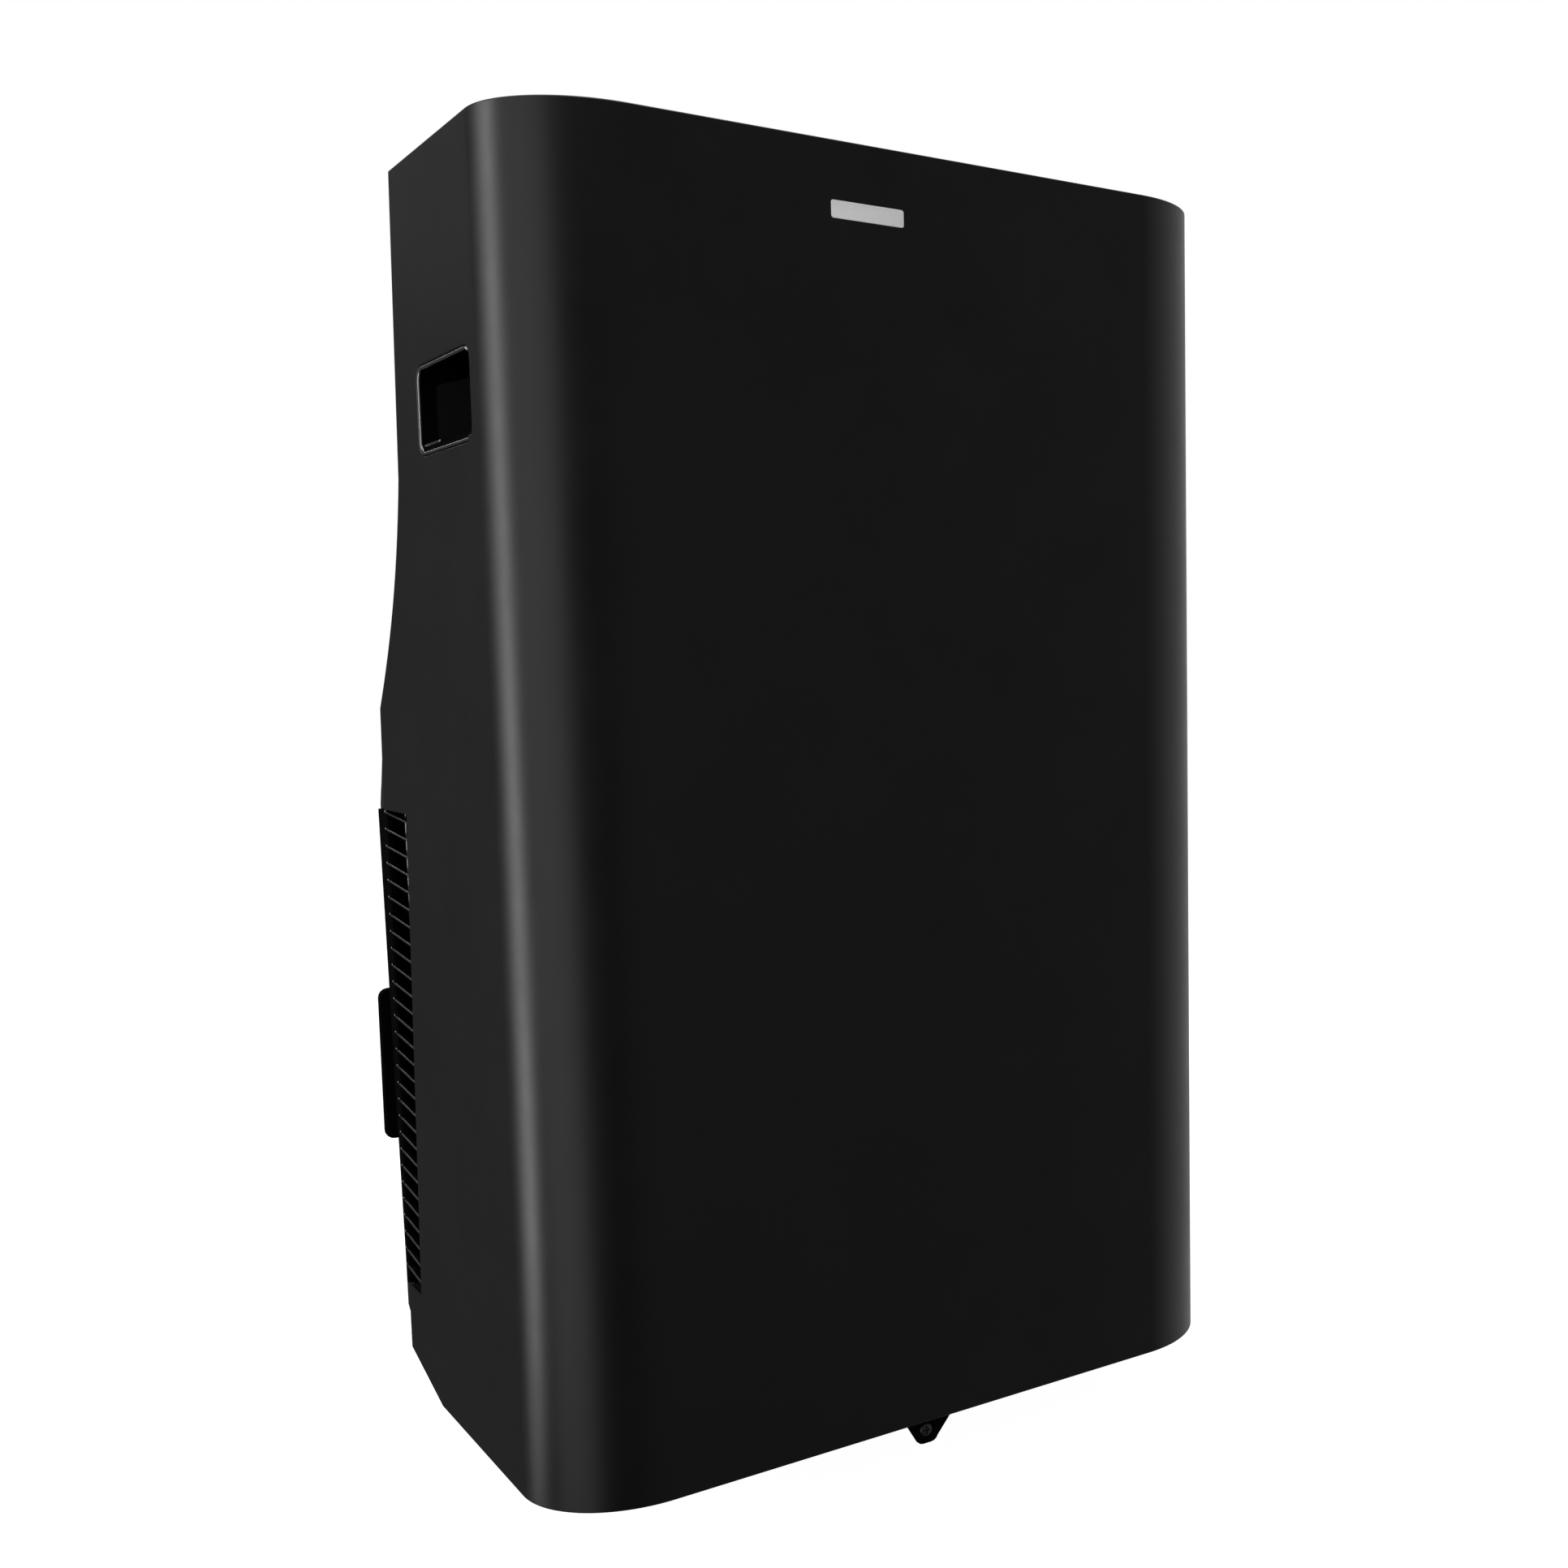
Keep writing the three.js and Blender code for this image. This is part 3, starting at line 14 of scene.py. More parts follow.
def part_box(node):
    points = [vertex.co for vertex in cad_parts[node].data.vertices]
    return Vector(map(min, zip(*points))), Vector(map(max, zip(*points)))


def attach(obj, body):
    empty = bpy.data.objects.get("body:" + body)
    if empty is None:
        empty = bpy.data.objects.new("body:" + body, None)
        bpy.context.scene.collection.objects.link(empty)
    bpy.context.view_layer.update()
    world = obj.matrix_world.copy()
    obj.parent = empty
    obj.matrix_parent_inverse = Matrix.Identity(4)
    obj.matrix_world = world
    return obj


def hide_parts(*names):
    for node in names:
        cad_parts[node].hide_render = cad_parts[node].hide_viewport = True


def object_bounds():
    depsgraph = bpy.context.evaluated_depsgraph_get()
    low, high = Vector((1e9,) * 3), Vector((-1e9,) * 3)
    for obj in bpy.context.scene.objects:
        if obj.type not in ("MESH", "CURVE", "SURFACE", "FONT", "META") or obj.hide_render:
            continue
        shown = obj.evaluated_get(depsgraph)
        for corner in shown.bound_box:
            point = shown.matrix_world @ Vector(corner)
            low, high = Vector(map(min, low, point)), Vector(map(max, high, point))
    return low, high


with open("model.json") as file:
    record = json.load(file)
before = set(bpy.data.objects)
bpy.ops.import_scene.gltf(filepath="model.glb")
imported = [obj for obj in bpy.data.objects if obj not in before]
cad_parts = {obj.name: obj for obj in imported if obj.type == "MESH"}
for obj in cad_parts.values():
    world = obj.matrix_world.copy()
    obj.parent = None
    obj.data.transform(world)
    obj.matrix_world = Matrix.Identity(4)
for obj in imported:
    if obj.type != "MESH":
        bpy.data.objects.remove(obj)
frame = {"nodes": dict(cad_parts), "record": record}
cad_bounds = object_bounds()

# ---- Driving dimensions ----
MM = 0.001
shell_low, shell_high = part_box("front_panel")
HALF = shell_high.x / MM
HEIGHT = (shell_high.z - shell_low.z) / MM
DEPTH = (cad_bounds[1][1] - shell_low.y) / MM
WALL = 3.0
FIT = 0.3
INNER_HALF = HALF - WALL
CORNER_X = 62.0
CORNER_Y = 51.0

# Side wall and back, seen from the side.
SIDE_TOP_Y = 181.0
HIP_TOP = (189.0, 534.0)
HIP_BOTTOM = (249.0, 404.0)
SIDE_LOW_Y = 251.0
HEEL = (247.0, 17.0)
HEEL_FRONT_Y = 188.0
BACK_TOP_Y = 187.0
BACK_HIP_Y = 194.0
LEDGE_FRONT = (256.0, 404.0)
LEDGE_BACK = (304.0, 352.0)
BACK_EDGE = (310.0, 343.0)
BACK_FOOT = (288.0, 29.0)
TOP_FACE_Z = 694.0
TOP_THICKNESS = 3.0
SIDE_CURVE = ((222.0, 440.0), (200.0, 478.0))
BACK_CURVE = ((228.0, 440.0), (206.0, 478.0))

# Rear covers, seen from above: their sides draw in towards the back.
INNER_FRONT_Y = 190.0
TAPER_START_Y = 252.0
TAPER_END_Y = 300.0
TAPER_DRAW = 9.0
TAIL_DRAW = 16.0
LOW_LAP_Y = 222.0
HIGH_LAP_Y = 230.0
PAN_ROOM_Y = 282.0
UPPER_WINDOW = ((-184.0, 184.0), (583.0, 683.0))
LOWER_WINDOW = ((-173.0, 173.0), (47.0, 331.0))

# Slotted corners.
NOTCH_TOP_Z = 344.0
NOTCH_LOW_Z = 56.0
NOTCH_Y = 205.0
NOTCH_LEAN = 0.06
SLOT_PITCH = 10.2
SLOT_END_Y = 248.0
WING_TOP_Y = 266.0
WING_LOW_Y = 253.0
WING_THICKNESS = 4.0
SLAT_RADIUS = 0.62
SLAT_DEPTH = 5.5
SLAT_DIP = 2.6
SLAT_DROP = 3.2

# Finger grips, outlet, controls.
GRIP_Y = (59.5, 147.0)
GRIP_Z = (539.0, 586.0)
GRIP_RADIUS = 8.0
GRIP_FLOOR = 9.0
GRIP_DEEP = 27.0
GRIP_CAVITY_TOP = 606.0
BEAD_RADIUS = 1.0
BEAD_SINK = 1.4
BEAD_STEPS = 12
OUTLET_X = 160.0
OUTLET_Y = (23.0, 108.5)
OUTLET_LOW = 658.0
FLAP_AXIS = (99.0, 685.0)
FLAP_BARREL = 9.0
VANE_SPACING = 54.0
VANE_AXIS_Z = 669.0
VANE_DROP = 8.0
CONTROLS_X = 108.0
CONTROLS_Y = (117.0, 167.0)
BUTTON_Y = 153.0
BUTTON_RADIUS = 7.0
BUTTON_SPACING = 26.0

# Back fittings.
PORT = (95.0, 486.0)
PORT_RADIUS = 64.0
PORT_REAR = 276.0
BOSS_X = (12.0, 178.0)
BOSS_TOP = 565.0
BOSS_BACK = 252.0
UPPER_DRAIN = (-150.0, 424.0, 257.0)
LOWER_DRAIN = (185.0, 40.0, 290.0)
DRAIN_HOLE = 8.4
CORD_HOLE = 7.4
CORD_INLET = (-192.0, 70.0, 292.2)
CLEAT_Z = (122.0, 221.0)
UPPER_FILTER = {"half_width": 183, "height": 98, "thickness": 6, "columns": 3, "rows": 3}
LOWER_FILTER = {"half_width": 172, "height": 282, "thickness": 7, "columns": 3, "rows": 8}

# Casters.
CASTERS = {
    "front_left": (-150.0, 97.0), "front_right": (150.0, 97.0),
    "rear_left": (-150.0, 215.0), "rear_right": (150.0, 215.0),
}
CASTER_TRAIL = 13.0
WHEEL_RADIUS = 20.0
WHEEL_WIDTH = 17.0
POCKET_CEILING = 12.0
FLOOR_Z = -shell_low.z / MM


def spot(x, y, z):
    """A point of the cabinet, in metres in the shared frame."""
    return Vector((x * MM, shell_low.y + y * MM, shell_low.z + z * MM))


# ---- Outlines: lists of (a, b) ----
def arc(a, b, radius_a, radius_b, start, end, steps):
    """Points on an ellipse's arc about (a, b), angles in degrees."""
    angles = [math.radians(start + (end - start) * step / steps) for step in range(steps + 1)]
    return [(a + radius_a * math.cos(angle), b + radius_b * math.sin(angle)) for angle in angles]


def circle(a, b, radius, count=48):
    return arc(a, b, radius, radius, 0, 360, count)[:-1]


def rounded(a, b, radius, steps=5):
    """A rectangle with round corners, from its limits along both axes."""
    radius = max(radius, 0.02)
    low_a, high_a, low_b, high_b = a[0] + radius, a[1] - radius, b[0] + radius, b[1] - radius
    return (
        arc(high_a, low_b, radius, radius, -90, 0, steps) + arc(high_a, high_b, radius, radius, 0, 90, steps)
        + arc(low_a, high_b, radius, radius, 90, 180, steps)
        + arc(low_a, low_b, radius, radius, 180, 270, steps)
    )


def bezier(start, first, second, end, steps=14):
    points = []
    for step in range(steps + 1):
        t = step / steps
        weights = ((1 - t) ** 3, 3 * t * (1 - t) ** 2, 3 * t * t * (1 - t), t ** 3)
        points.append(tuple(
            sum(w * p[i] for w, p in zip(weights, (start, first, second, end))) for i in (0, 1)))
    return points


def plan(inset, rear, steps=32):
    """Front and sides from above, inside the outer face by the inset, open at the rear."""
    edge = HALF - inset
    left = [(-edge, rear)] + arc(
        -HALF + CORNER_X, CORNER_Y, CORNER_X - inset, CORNER_Y - inset, 180, 270, steps)
    return left + [(-x, y) for x, y in reversed(left)]


def grow(span, margin):
    return (span[0] - margin, span[1] + margin)


# ---- Solids: (points, faces) pairs ----
AXES = {
    "x": lambda a, b, t: (t, a, b),
    "y": lambda a, b, t: (a, t, b),
    "z": lambda a, b, t: (a, b, t),
}


def loft(rings, closed=False):
    """Skins equal rings of points one after the other, with end caps unless it closes on itself."""
    size = len(rings[0])
    points = [point for ring in rings for point in ring]
    last = len(rings) if closed else len(rings) - 1
    faces = []
    for row in range(last):
        here, there = row * size, ((row + 1) % len(rings)) * size
        for i in range(size):
            j = (i + 1) % size
            faces.append((here + i, here + j, there + j, there + i))
    if not closed:
        faces.append(tuple(range(size)))
        faces.append(tuple((len(rings) - 1) * size + i for i in range(size)))
    return points, faces


def prism(axis, outline, span):
    return loft([[AXES[axis](a, b, t) for a, b in outline] for t in span])


def eased(axis, shape, span, ease, steps=3):
    """A prism with quarter-round edges: shape(inset) gives its outline."""
    rings = []
    for step in range(steps + 1):
        angle = math.pi / 2 * step / steps
        rings.append((ease * (1 - math.sin(angle)), span[0] + ease * (1 - math.cos(angle))))
    rings += [(inset, span[0] + span[1] - t) for inset, t in reversed(rings)]
    return loft([[AXES[axis](a, b, t) for a, b in shape(inset)] for inset, t in rings])


def pillow(x, y, z, ease, radius=None, axis="z"):
    """A box with round edges; radius rounds the four corners seen along the axis."""
    radius = ease if radius is None else radius
    a, b, span = {"x": (y, z, x), "y": (x, z, y), "z": (x, y, z)}[axis]
    return eased(axis, lambda inset: rounded(grow(a, -inset), grow(b, -inset), radius - inset, 4), span, ease)


def disc(axis, centre, radius, span, ease, count=40):
    return eased(axis, lambda inset: circle(*centre, radius - inset, count), span, ease)


def lathe(axis, centre, profile, count=48, closed=False):
    """A turned body about the axis through the centre, from (radius, along) points."""
    rings = [[AXES[axis](a, b, t) for a, b in circle(*centre, max(r, 0.02), count)] for r, t in profile]
    return loft(rings, closed)


def merged(*solids):
    points, faces = [], []
    for more_points, more_faces in solids:
        start = len(points)
        points += more_points
        faces += [tuple(start + i for i in face) for face in more_faces]
    return points, faces


def moved(solid, change):
    return [change(*point) for point in solid[0]], solid[1]


def mirrored(solid):
    return moved(solid, lambda x, y, z: (-x, y, z))


def tilted(solid, degrees, y0, z0):
    """Turns a solid about the x axis, then shifts it to (y0, z0)."""
    c, s = math.cos(math.radians(degrees)), math.sin(math.radians(degrees))
    return moved(solid, lambda x, y, z: (x, y0 + y * c - z * s, z0 + y * s + z * c))


# ---- Mesh objects ----
def model(name, solid):
    mesh = bpy.data.meshes.new(name)
    mesh.from_pydata([spot(*point) for point in solid[0]], [], solid[1])
    work = bmesh.new()
    work.from_mesh(mesh)
    bmesh.ops.recalc_face_normals(work, faces=work.faces)
    work.to_mesh(mesh)
    work.free()
    made = bpy.data.objects.new(name, mesh)
    bpy.context.scene.collection.objects.link(made)
    return made


def bake(made):
    bpy.context.view_layer.update()
    graph = bpy.context.evaluated_depsgraph_get()
    mesh = bpy.data.meshes.new_from_object(made.evaluated_get(graph))
    made.modifiers.clear()
    made.data = mesh


def carve(made, solid, operation="DIFFERENCE"):
    """Cuts a solid out of an object, or keeps only what both have, or joins them."""
    tool = model("tool", solid)
    step = made.modifiers.new("carve", "BOOLEAN")
    step.operation = operation
    step.solver = "EXACT"
    step.use_self = True
    step.object = tool
    bake(made)
    bpy.data.objects.remove(tool)
    return made


def soften(made, width, segments=2, angle=32):
    """Rounds every edge that turns by more than the angle."""
    step = made.modifiers.new("edges", "BEVEL")
    step.width = width * MM
    step.segments = segments
    step.limit_method = "ANGLE"
    step.angle_limit = math.radians(angle)
    step.use_clamp_overlap = True
    step.miter_outer = "MITER_ARC"
    bake(made)
    return made


def shade(made, angle=40):
    mesh = made.data
    mesh.shade_smooth()
    mesh.set_sharp_from_angle(angle=math.radians(angle))
    step = made.modifiers.new("normals", "WEIGHTED_NORMAL")
    step.keep_sharp = True
    bake(made)
    return made


def place(made, body, slot, replaces=(), look=None, angle=40):
    """Gives a finished piece its shading, surface and body; the surface is the look given, or else the
    slot's.
    """
    shade(made, angle)
    made.data.materials.clear()
    made.data.materials.append(look or LOOKS[slot])
    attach(made, body)
    if replaces:
        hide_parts(*replaces)
    return made


def add(name, solid, body, slot, replaces=(), look=None, angle=40):
    return place(model(name, solid), body, slot, replaces, look, angle)


# ---- Surfaces ----
class Graph:
    """A material's nodes, joined as they are made."""

    def __init__(self, name):
        self.material = bpy.data.materials.new(name)
        self.material.use_nodes = True
        self.tree = self.material.node_tree
        self.shader = self.tree.nodes["Principled BSDF"]
        self.coords = self.tree.nodes.new("ShaderNodeTexCoord").outputs["Object"]

    def node(self, kind, settings=None, **inputs):
        made = self.tree.nodes.new("ShaderNode" + kind)
        for key, value in (settings or {}).items():
            setattr(made, key, value)
        for key, value in inputs.items():
            self.set(made.inputs[key.replace("_", " ")], value)
        return made

    def set(self, socket, value):
        if isinstance(value, bpy.types.NodeSocket):
            self.tree.links.new(value, socket)
        else:
            socket.default_value = value

    def noise(self, size, detail=3.0, roughness=0.55):
        """Noise whose features are about the given size in millimetres."""
        scale = 1 / (size * MM)
        made = self.node("TexNoise", Vector=self.coords, Scale=scale, Detail=detail, Roughness=roughness)
        return made.outputs["Fac"]

    def remap(self, value, low, high, to_low, to_high):
        made = self.node("MapRange", Value=value)
        for key, amount in (("From Min", low), ("From Max", high), ("To Min", to_low), ("To Max", to_high)):
            made.inputs[key].default_value = amount
        return made.outputs["Result"]

    def blend(self, factor, first, second):
        made = self.node("Mix", {"data_type": "RGBA"})
        self.set(made.inputs["Factor"], factor)
        self.set([s for s in made.inputs if s.name == "A" and s.type == "RGBA"][0], first)
        self.set([s for s in made.inputs if s.name == "B" and s.type == "RGBA"][0], second)
        return [s for s in made.outputs if s.type == "RGBA"][0]

    def total(self, *values):
        result = values[0]
        for value in values[1:]:
            made = self.node("Math", {"operation": "ADD"})
            self.set(made.inputs[0], result)
            self.set(made.inputs[1], value)
            result = made.outputs[0]
        return result


def shift(colour, factor):
    return tuple(min(1.0, channel * factor) for channel in colour) + (1.0,)


def surface(name, colour, roughness, grain=0.5, bump=0.05, mottle=0.12, smear=0.06, wear=1.6,
            metallic=0.0, specular=0.5, coat=0.0, relief=None):
    """A moulded, painted or metal surface: fine grain, uneven gloss, slight colour changes and
    lighter, smoother edges. relief(graph) adds a pattern's (colour factor, height, darker colour)."""
    g = Graph(name)
    g.shader.inputs["Metallic"].default_value = metallic
    g.shader.inputs["Specular IOR Level"].default_value = specular
    g.shader.inputs["Coat Weight"].default_value = coat
    g.shader.inputs["Coat Roughness"].default_value = 0.12
    clouds = g.noise(60, 4)
    fine = g.noise(grain, 2)
    colours = g.blend(g.remap(clouds, 0.3, 0.7, 0, 1), shift(colour, 1 - mottle), shift(colour, 1 + mottle))
    edges = g.node("NewGeometry").outputs["Pointiness"]
    edge = g.remap(edges, 0.53, 0.62, 0, 0.8)
    colours = g.blend(edge, colours, shift(colour, wear))
    height = fine
    if relief:
        factor, extra, dark = relief(g)
        colours = g.blend(factor, colours, dark)
        height = g.total(fine, extra)
    g.set(g.shader.inputs["Base Color"], colours)
    gloss = g.total(g.remap(clouds, 0.3, 0.7, roughness - smear, roughness + smear),
                    g.remap(g.noise(9, 3), 0.35, 0.65, -smear / 2, smear / 2))
    g.set(g.shader.inputs["Roughness"], gloss)
    bumps = g.node("Bump", Strength=bump, Distance=0.0003, Height=height)
    g.set(g.shader.inputs["Normal"], bumps.outputs["Normal"])
    return g.material


def fins(graph):
    """Thin upright fins, 1.8 mm apart, with painted shade darkening the spaces between them."""
    wave = graph.node("TexWave", {"bands_direction": "X"}, Vector=graph.coords, Scale=175.0, Distortion=0.0)
    # Painted shade: a darker colour between the fins.
    gap_shade = graph.remap(wave.outputs["Fac"], 0.15, 0.5, 0.85, 0)
    return gap_shade, wave.outputs["Fac"], (0.05, 0.055, 0.06, 1)


def spangle(graph):
    """The crystal pattern of zinc on steel."""
    cells = graph.node("TexVoronoi", Vector=graph.coords, Scale=90.0)
    shade_of = graph.node("SeparateColor", Color=cells.outputs["Color"])
    crystals = graph.remap(shade_of.outputs["Red"], 0, 1, 0, 0.35)
    return crystals, cells.outputs["Distance"], (0.3, 0.32, 0.33, 1)


def beads(graph):
    """The closed cells of moulded foam."""
    cells = graph.node("TexVoronoi", Vector=graph.coords, Scale=420.0)
    edges = graph.remap(cells.outputs["Distance"], 0.3, 0.7, 0, 0.3)
    return edges, cells.outputs["Distance"], (0.6, 0.6, 0.57, 1)


def tarnish(graph):
    """Darker oxide clouds on bare metal."""
    clouds = graph.noise(14, 5, 0.7)
    return graph.remap(clouds, 0.5, 0.75, 0, 0.7), clouds, (0.2, 0.09, 0.05, 1)


def tracks(graph):
    """Fine copper tracks under a board's lacquer."""
    bricks = graph.node("TexBrick", Vector=graph.coords, Scale=60.0)
    return graph.remap(bricks.outputs["Fac"], 0, 1, 0, 0.5), bricks.outputs["Fac"], (0.08, 0.22, 0.1, 1)


def scuffs(graph):
    """Dusty scuff marks of rolling on a floor."""
    marks = graph.noise(5, 6, 0.75)
    return graph.remap(marks, 0.52, 0.7, 0, 0.6), marks, (0.2, 0.19, 0.18, 1)


SHELL = (0.0052, 0.0052, 0.0055)
LOOKS = {
    "shell_black": surface("shell_black", SHELL,
        0.36, grain=0.55, bump=0.03, specular=0.3, smear=0.02, mottle=0.06),
    "rear_black": surface("rear_black", (0.005, 0.005, 0.0054), 0.42, grain=0.7, bump=0.06, specular=0.3),
    "gloss_black": surface("gloss_black", (0.004, 0.004, 0.0046),
        0.16, bump=0.015, specular=0.4, coat=0.25),
    "button_grey": surface("button_grey", (0.17, 0.175, 0.18), 0.38, bump=0.04),
    "wheel_grey": surface("wheel_grey", (0.07, 0.072, 0.075), 0.5, bump=0.08, relief=scuffs),
    "rubber_black": surface("rubber_black", (0.012, 0.012, 0.013),
        0.78, grain=0.4, bump=0.12, specular=0.3),
    "duct_white": surface("duct_white", (0.7, 0.7, 0.69), 0.5, grain=0.8, bump=0.06, wear=1.1),
    "fan_black": surface("fan_black", (0.014, 0.0145, 0.015), 0.5, bump=0.06, specular=0.35),
    "zinc_steel": surface("zinc_steel", (0.5, 0.52, 0.53), 0.4, metallic=1.0, wear=1.2, relief=spangle),
    "bright_steel": surface("bright_steel", (0.55, 0.55, 0.56), 0.25, metallic=1.0, wear=1.3, bump=0.03),
    "copper": surface("copper", (0.55, 0.25, 0.13), 0.32, metallic=1.0, wear=1.2, relief=tarnish),
    "fin_aluminium": surface("fin_aluminium", (0.55, 0.57, 0.59),
        0.35, metallic=1.0, bump=0.5, relief=fins),
    "compressor_black": surface("compressor_black", (0.02, 0.02, 0.022),
        0.35, grain=1.2, bump=0.12, coat=0.2),
    "board_green": surface("board_green", (0.02, 0.1, 0.05), 0.35, bump=0.1, coat=0.4, relief=tracks),
    "foam_white": surface("foam_white", (0.8, 0.8, 0.77), 0.85, bump=0.3, wear=1.05, relief=beads),
}
BADGE_LOOK = surface("badge_silver", (0.86, 0.86, 0.87), 0.34, grain=0.3, bump=0.02, wear=1.1, mottle=0.03)
GLASS_LOOK = surface("display_tint", (0.003, 0.003, 0.004),
    0.06, bump=0.003, smear=0.02, coat=0.6, wear=1.2)
PRINT_LOOK = surface("print_grey", (0.55, 0.56, 0.57), 0.6, bump=0.02, wear=1.1)
# Painted shade: a darker, matte black without reflection, for parts that lie in shade: the grip pockets and
# sills, the slotted corners' frames and inner walls, and the cord hooks.
PAINTED_SHADE_LOOK = surface("painted_shade_black", (0.0024, 0.0024, 0.0027), 0.8, bump=0.04, specular=0.0, wear=1.2)
# Real gloss with a coat, plus a base colour lighter than the shell's as a painted highlight on the grip's
# bead and step.
BEAD_GLOSS_HIGHLIGHT_LOOK = surface("bead_gloss_painted_highlight", (0.012, 0.012, 0.0125), 0.24, bump=0.02, specular=1.0, coat=1.0)
SLAT_LOOK = surface("slat_black", (0.006, 0.006, 0.0064), 0.3, bump=0.03, specular=1.0, coat=1.0)
# Painted shade: the front tab is darker than the shell and almost without reflection, because it lies in
# shade behind the front edge.
TAB_SHADE_LOOK = surface("tab_painted_shade", (0.0016, 0.0016, 0.0018), 0.6, bump=0.03, specular=0.03, wear=1.2)
SCREW_LOOK = surface("screw_steel", (0.06, 0.06, 0.062), 0.42, bump=0.04, metallic=0.9)
NET_LOOK = surface("net_grey", (0.03, 0.031, 0.033), 0.6, bump=0.05)


def finish_nodes():
    """Every CAD node gets its slot's surface; the pieces below hide the nodes that they stand for."""
    for part in frame["record"]["subparts"]:
        mesh = frame["nodes"][part["node"]].data
        mesh.materials.clear()
        mesh.materials.append(LOOKS[part["material_slot"]])
        mesh.shade_smooth()
        mesh.set_sharp_from_angle(angle=math.radians(35))


# ---- Enclosure ----
BADGE_X = (-48.0, -4.5)
BADGE_Z = (655.5, 664.7)
BADGE_DEPTH = 0.6


def side_cutter():
    """Everything behind and below the side wall's edge, for both sides at once."""
    slope = HEEL[1] / (HEEL[0] - HEEL_FRONT_Y)
    below = -10.0
    above = HEIGHT + 10.0
    lean = (HIP_TOP[0] - SIDE_TOP_Y) / (HEIGHT - HIP_TOP[1])
    edge = [(HEEL_FRONT_Y + below / slope, below), HEEL, (SIDE_LOW_Y, NOTCH_TOP_Z)]
    edge += bezier(HIP_BOTTOM, *SIDE_CURVE, HIP_TOP)
    edge += [(SIDE_TOP_Y - lean * (above - HEIGHT), above), (DEPTH + 50, above), (DEPTH + 50, below)]
    return prism("x", edge, grow((-HALF, HALF), 10))


def wrap_panel():
    band = plan(0, DEPTH) + list(reversed(plan(WALL, DEPTH)))
    panel = model("wrap_panel", prism("z", band, (0, HEIGHT)))
    carve(panel, side_cutter())
    notch = [(NOTCH_Y, NOTCH_TOP_Z), (NOTCH_Y + (NOTCH_TOP_Z - NOTCH_LOW_Z) * NOTCH_LEAN, NOTCH_LOW_Z),
             (DEPTH, NOTCH_LOW_Z), (DEPTH, NOTCH_TOP_Z)]
    carve(panel, prism("x", notch, grow((-HALF, HALF), 10)))
    carve(panel, prism("x", rounded(GRIP_Y, GRIP_Z, GRIP_RADIUS), grow((-HALF, HALF), 10)))
    soften(panel, 0.9, 3)
    recess = pillow(grow(BADGE_X, FIT), (-1, BADGE_DEPTH), grow(BADGE_Z, FIT), 0.1, 1.5, "y")
    carve(panel, recess)
    place(panel, "cabinet", "shell_black", ["front_panel"])
    plate = pillow(BADGE_X, (0.02, BADGE_DEPTH + 0.3), BADGE_Z, 0.25, 1.4, "y")
    add("badge_plate", plate, "cabinet", "bright_steel", look=BADGE_LOOK)


def grip_cup(side, flip):
    """The recessed finger grip: a shallow mouth, and room above it for fingers."""
    outer = -INNER_HALF + FIT
    body = rounded(grow(GRIP_Y, 4), (GRIP_Z[0] - 4, GRIP_CAVITY_TOP + 3), 8)
    cup = model("grip_cup_" + side, flip(prism("x", body, (outer, -HALF + GRIP_DEEP + 2))))
    lip = eased("x", lambda inset: rounded(
        grow(GRIP_Y, -FIT - inset), grow(GRIP_Z, -FIT - inset), GRIP_RADIUS - inset),
        (-HALF + 1, outer + 2), 0.5)
    carve(cup, flip(lip), "UNION")
    mouth = prism("x", rounded(grow(GRIP_Y, -2), grow(GRIP_Z, -2), 6), (-HALF - 1, -HALF + GRIP_FLOOR))
    carve(cup, flip(mouth))
    cavity = [(GRIP_Y[0] + 2, GRIP_Z[1] - 14), (GRIP_Y[1] - 2, GRIP_Z[1] - 9),
              (GRIP_Y[1] - 2, GRIP_CAVITY_TOP), (GRIP_Y[0] + 2, GRIP_CAVITY_TOP)]
    carve(cup, flip(prism("x", cavity, (outer + 1.5, -HALF + GRIP_DEEP))))
    soften(cup, 0.55, 2)
    # The pocket takes the painted shade black instead of its gloss, so that its inside reads as shaded.
    place(cup, "cabinet", "gloss_black", ["handle_pocket_" + side], look=PAINTED_SHADE_LOOK)


def grip_bead(side, flip):
    """The glossy bead round the grip's mouth, set deeper along its front edge; its lighter base colour is a
    painted highlight.
    """
    rings = []
    for step in range(BEAD_STEPS):
        angle = math.pi * 2 * step / BEAD_STEPS
        inset = FIT + BEAD_RADIUS * (1 + math.cos(angle))
        outline = rounded(grow(GRIP_Y, -inset), grow(GRIP_Z, -inset), GRIP_RADIUS - inset, 8)
        x = -HALF + BEAD_RADIUS * (1 + math.sin(angle))
        front = GRIP_Y[0] + GRIP_RADIUS / 2
        rings.append([(x + (BEAD_SINK if y < front else 0), y, z) for y, z in outline])
    add("grip_bead_" + side, flip(loft(rings, True)), "cabinet", "gloss_black", look=BEAD_GLOSS_HIGHLIGHT_LOOK)


def grip_sill(side, flip):
    """The sill along the bottom of the mouth and the short step at its rear end."""
    low = GRIP_Z[0]
    sill = pillow((-HALF + 2.2, -HALF + GRIP_FLOOR + 0.5), grow(GRIP_Y, -2.1), (low + 1.6, low + 5.2), 0.7)
    step = pillow((-HALF + 1.6, -HALF + 3.4), (GRIP_Y[1] - 30, GRIP_Y[1] - 3), (low + 5, low + 6.6), 0.7)
    # The sill takes the painted shade black.
    add("grip_sill_" + side, flip(sill), "cabinet", "gloss_black", look=PAINTED_SHADE_LOOK)
    # The step's bright line is partly its gloss, partly a painted highlight from the lighter base colour.
    add("grip_step_" + side, flip(step), "cabinet", "gloss_black", look=BEAD_GLOSS_HIGHLIGHT_LOOK)


def vane_places():
    return [(index - 2) * VANE_SPACING for index in range(5)]


def button_places():
    return [(index - 3) * BUTTON_SPACING for index in range(7)]


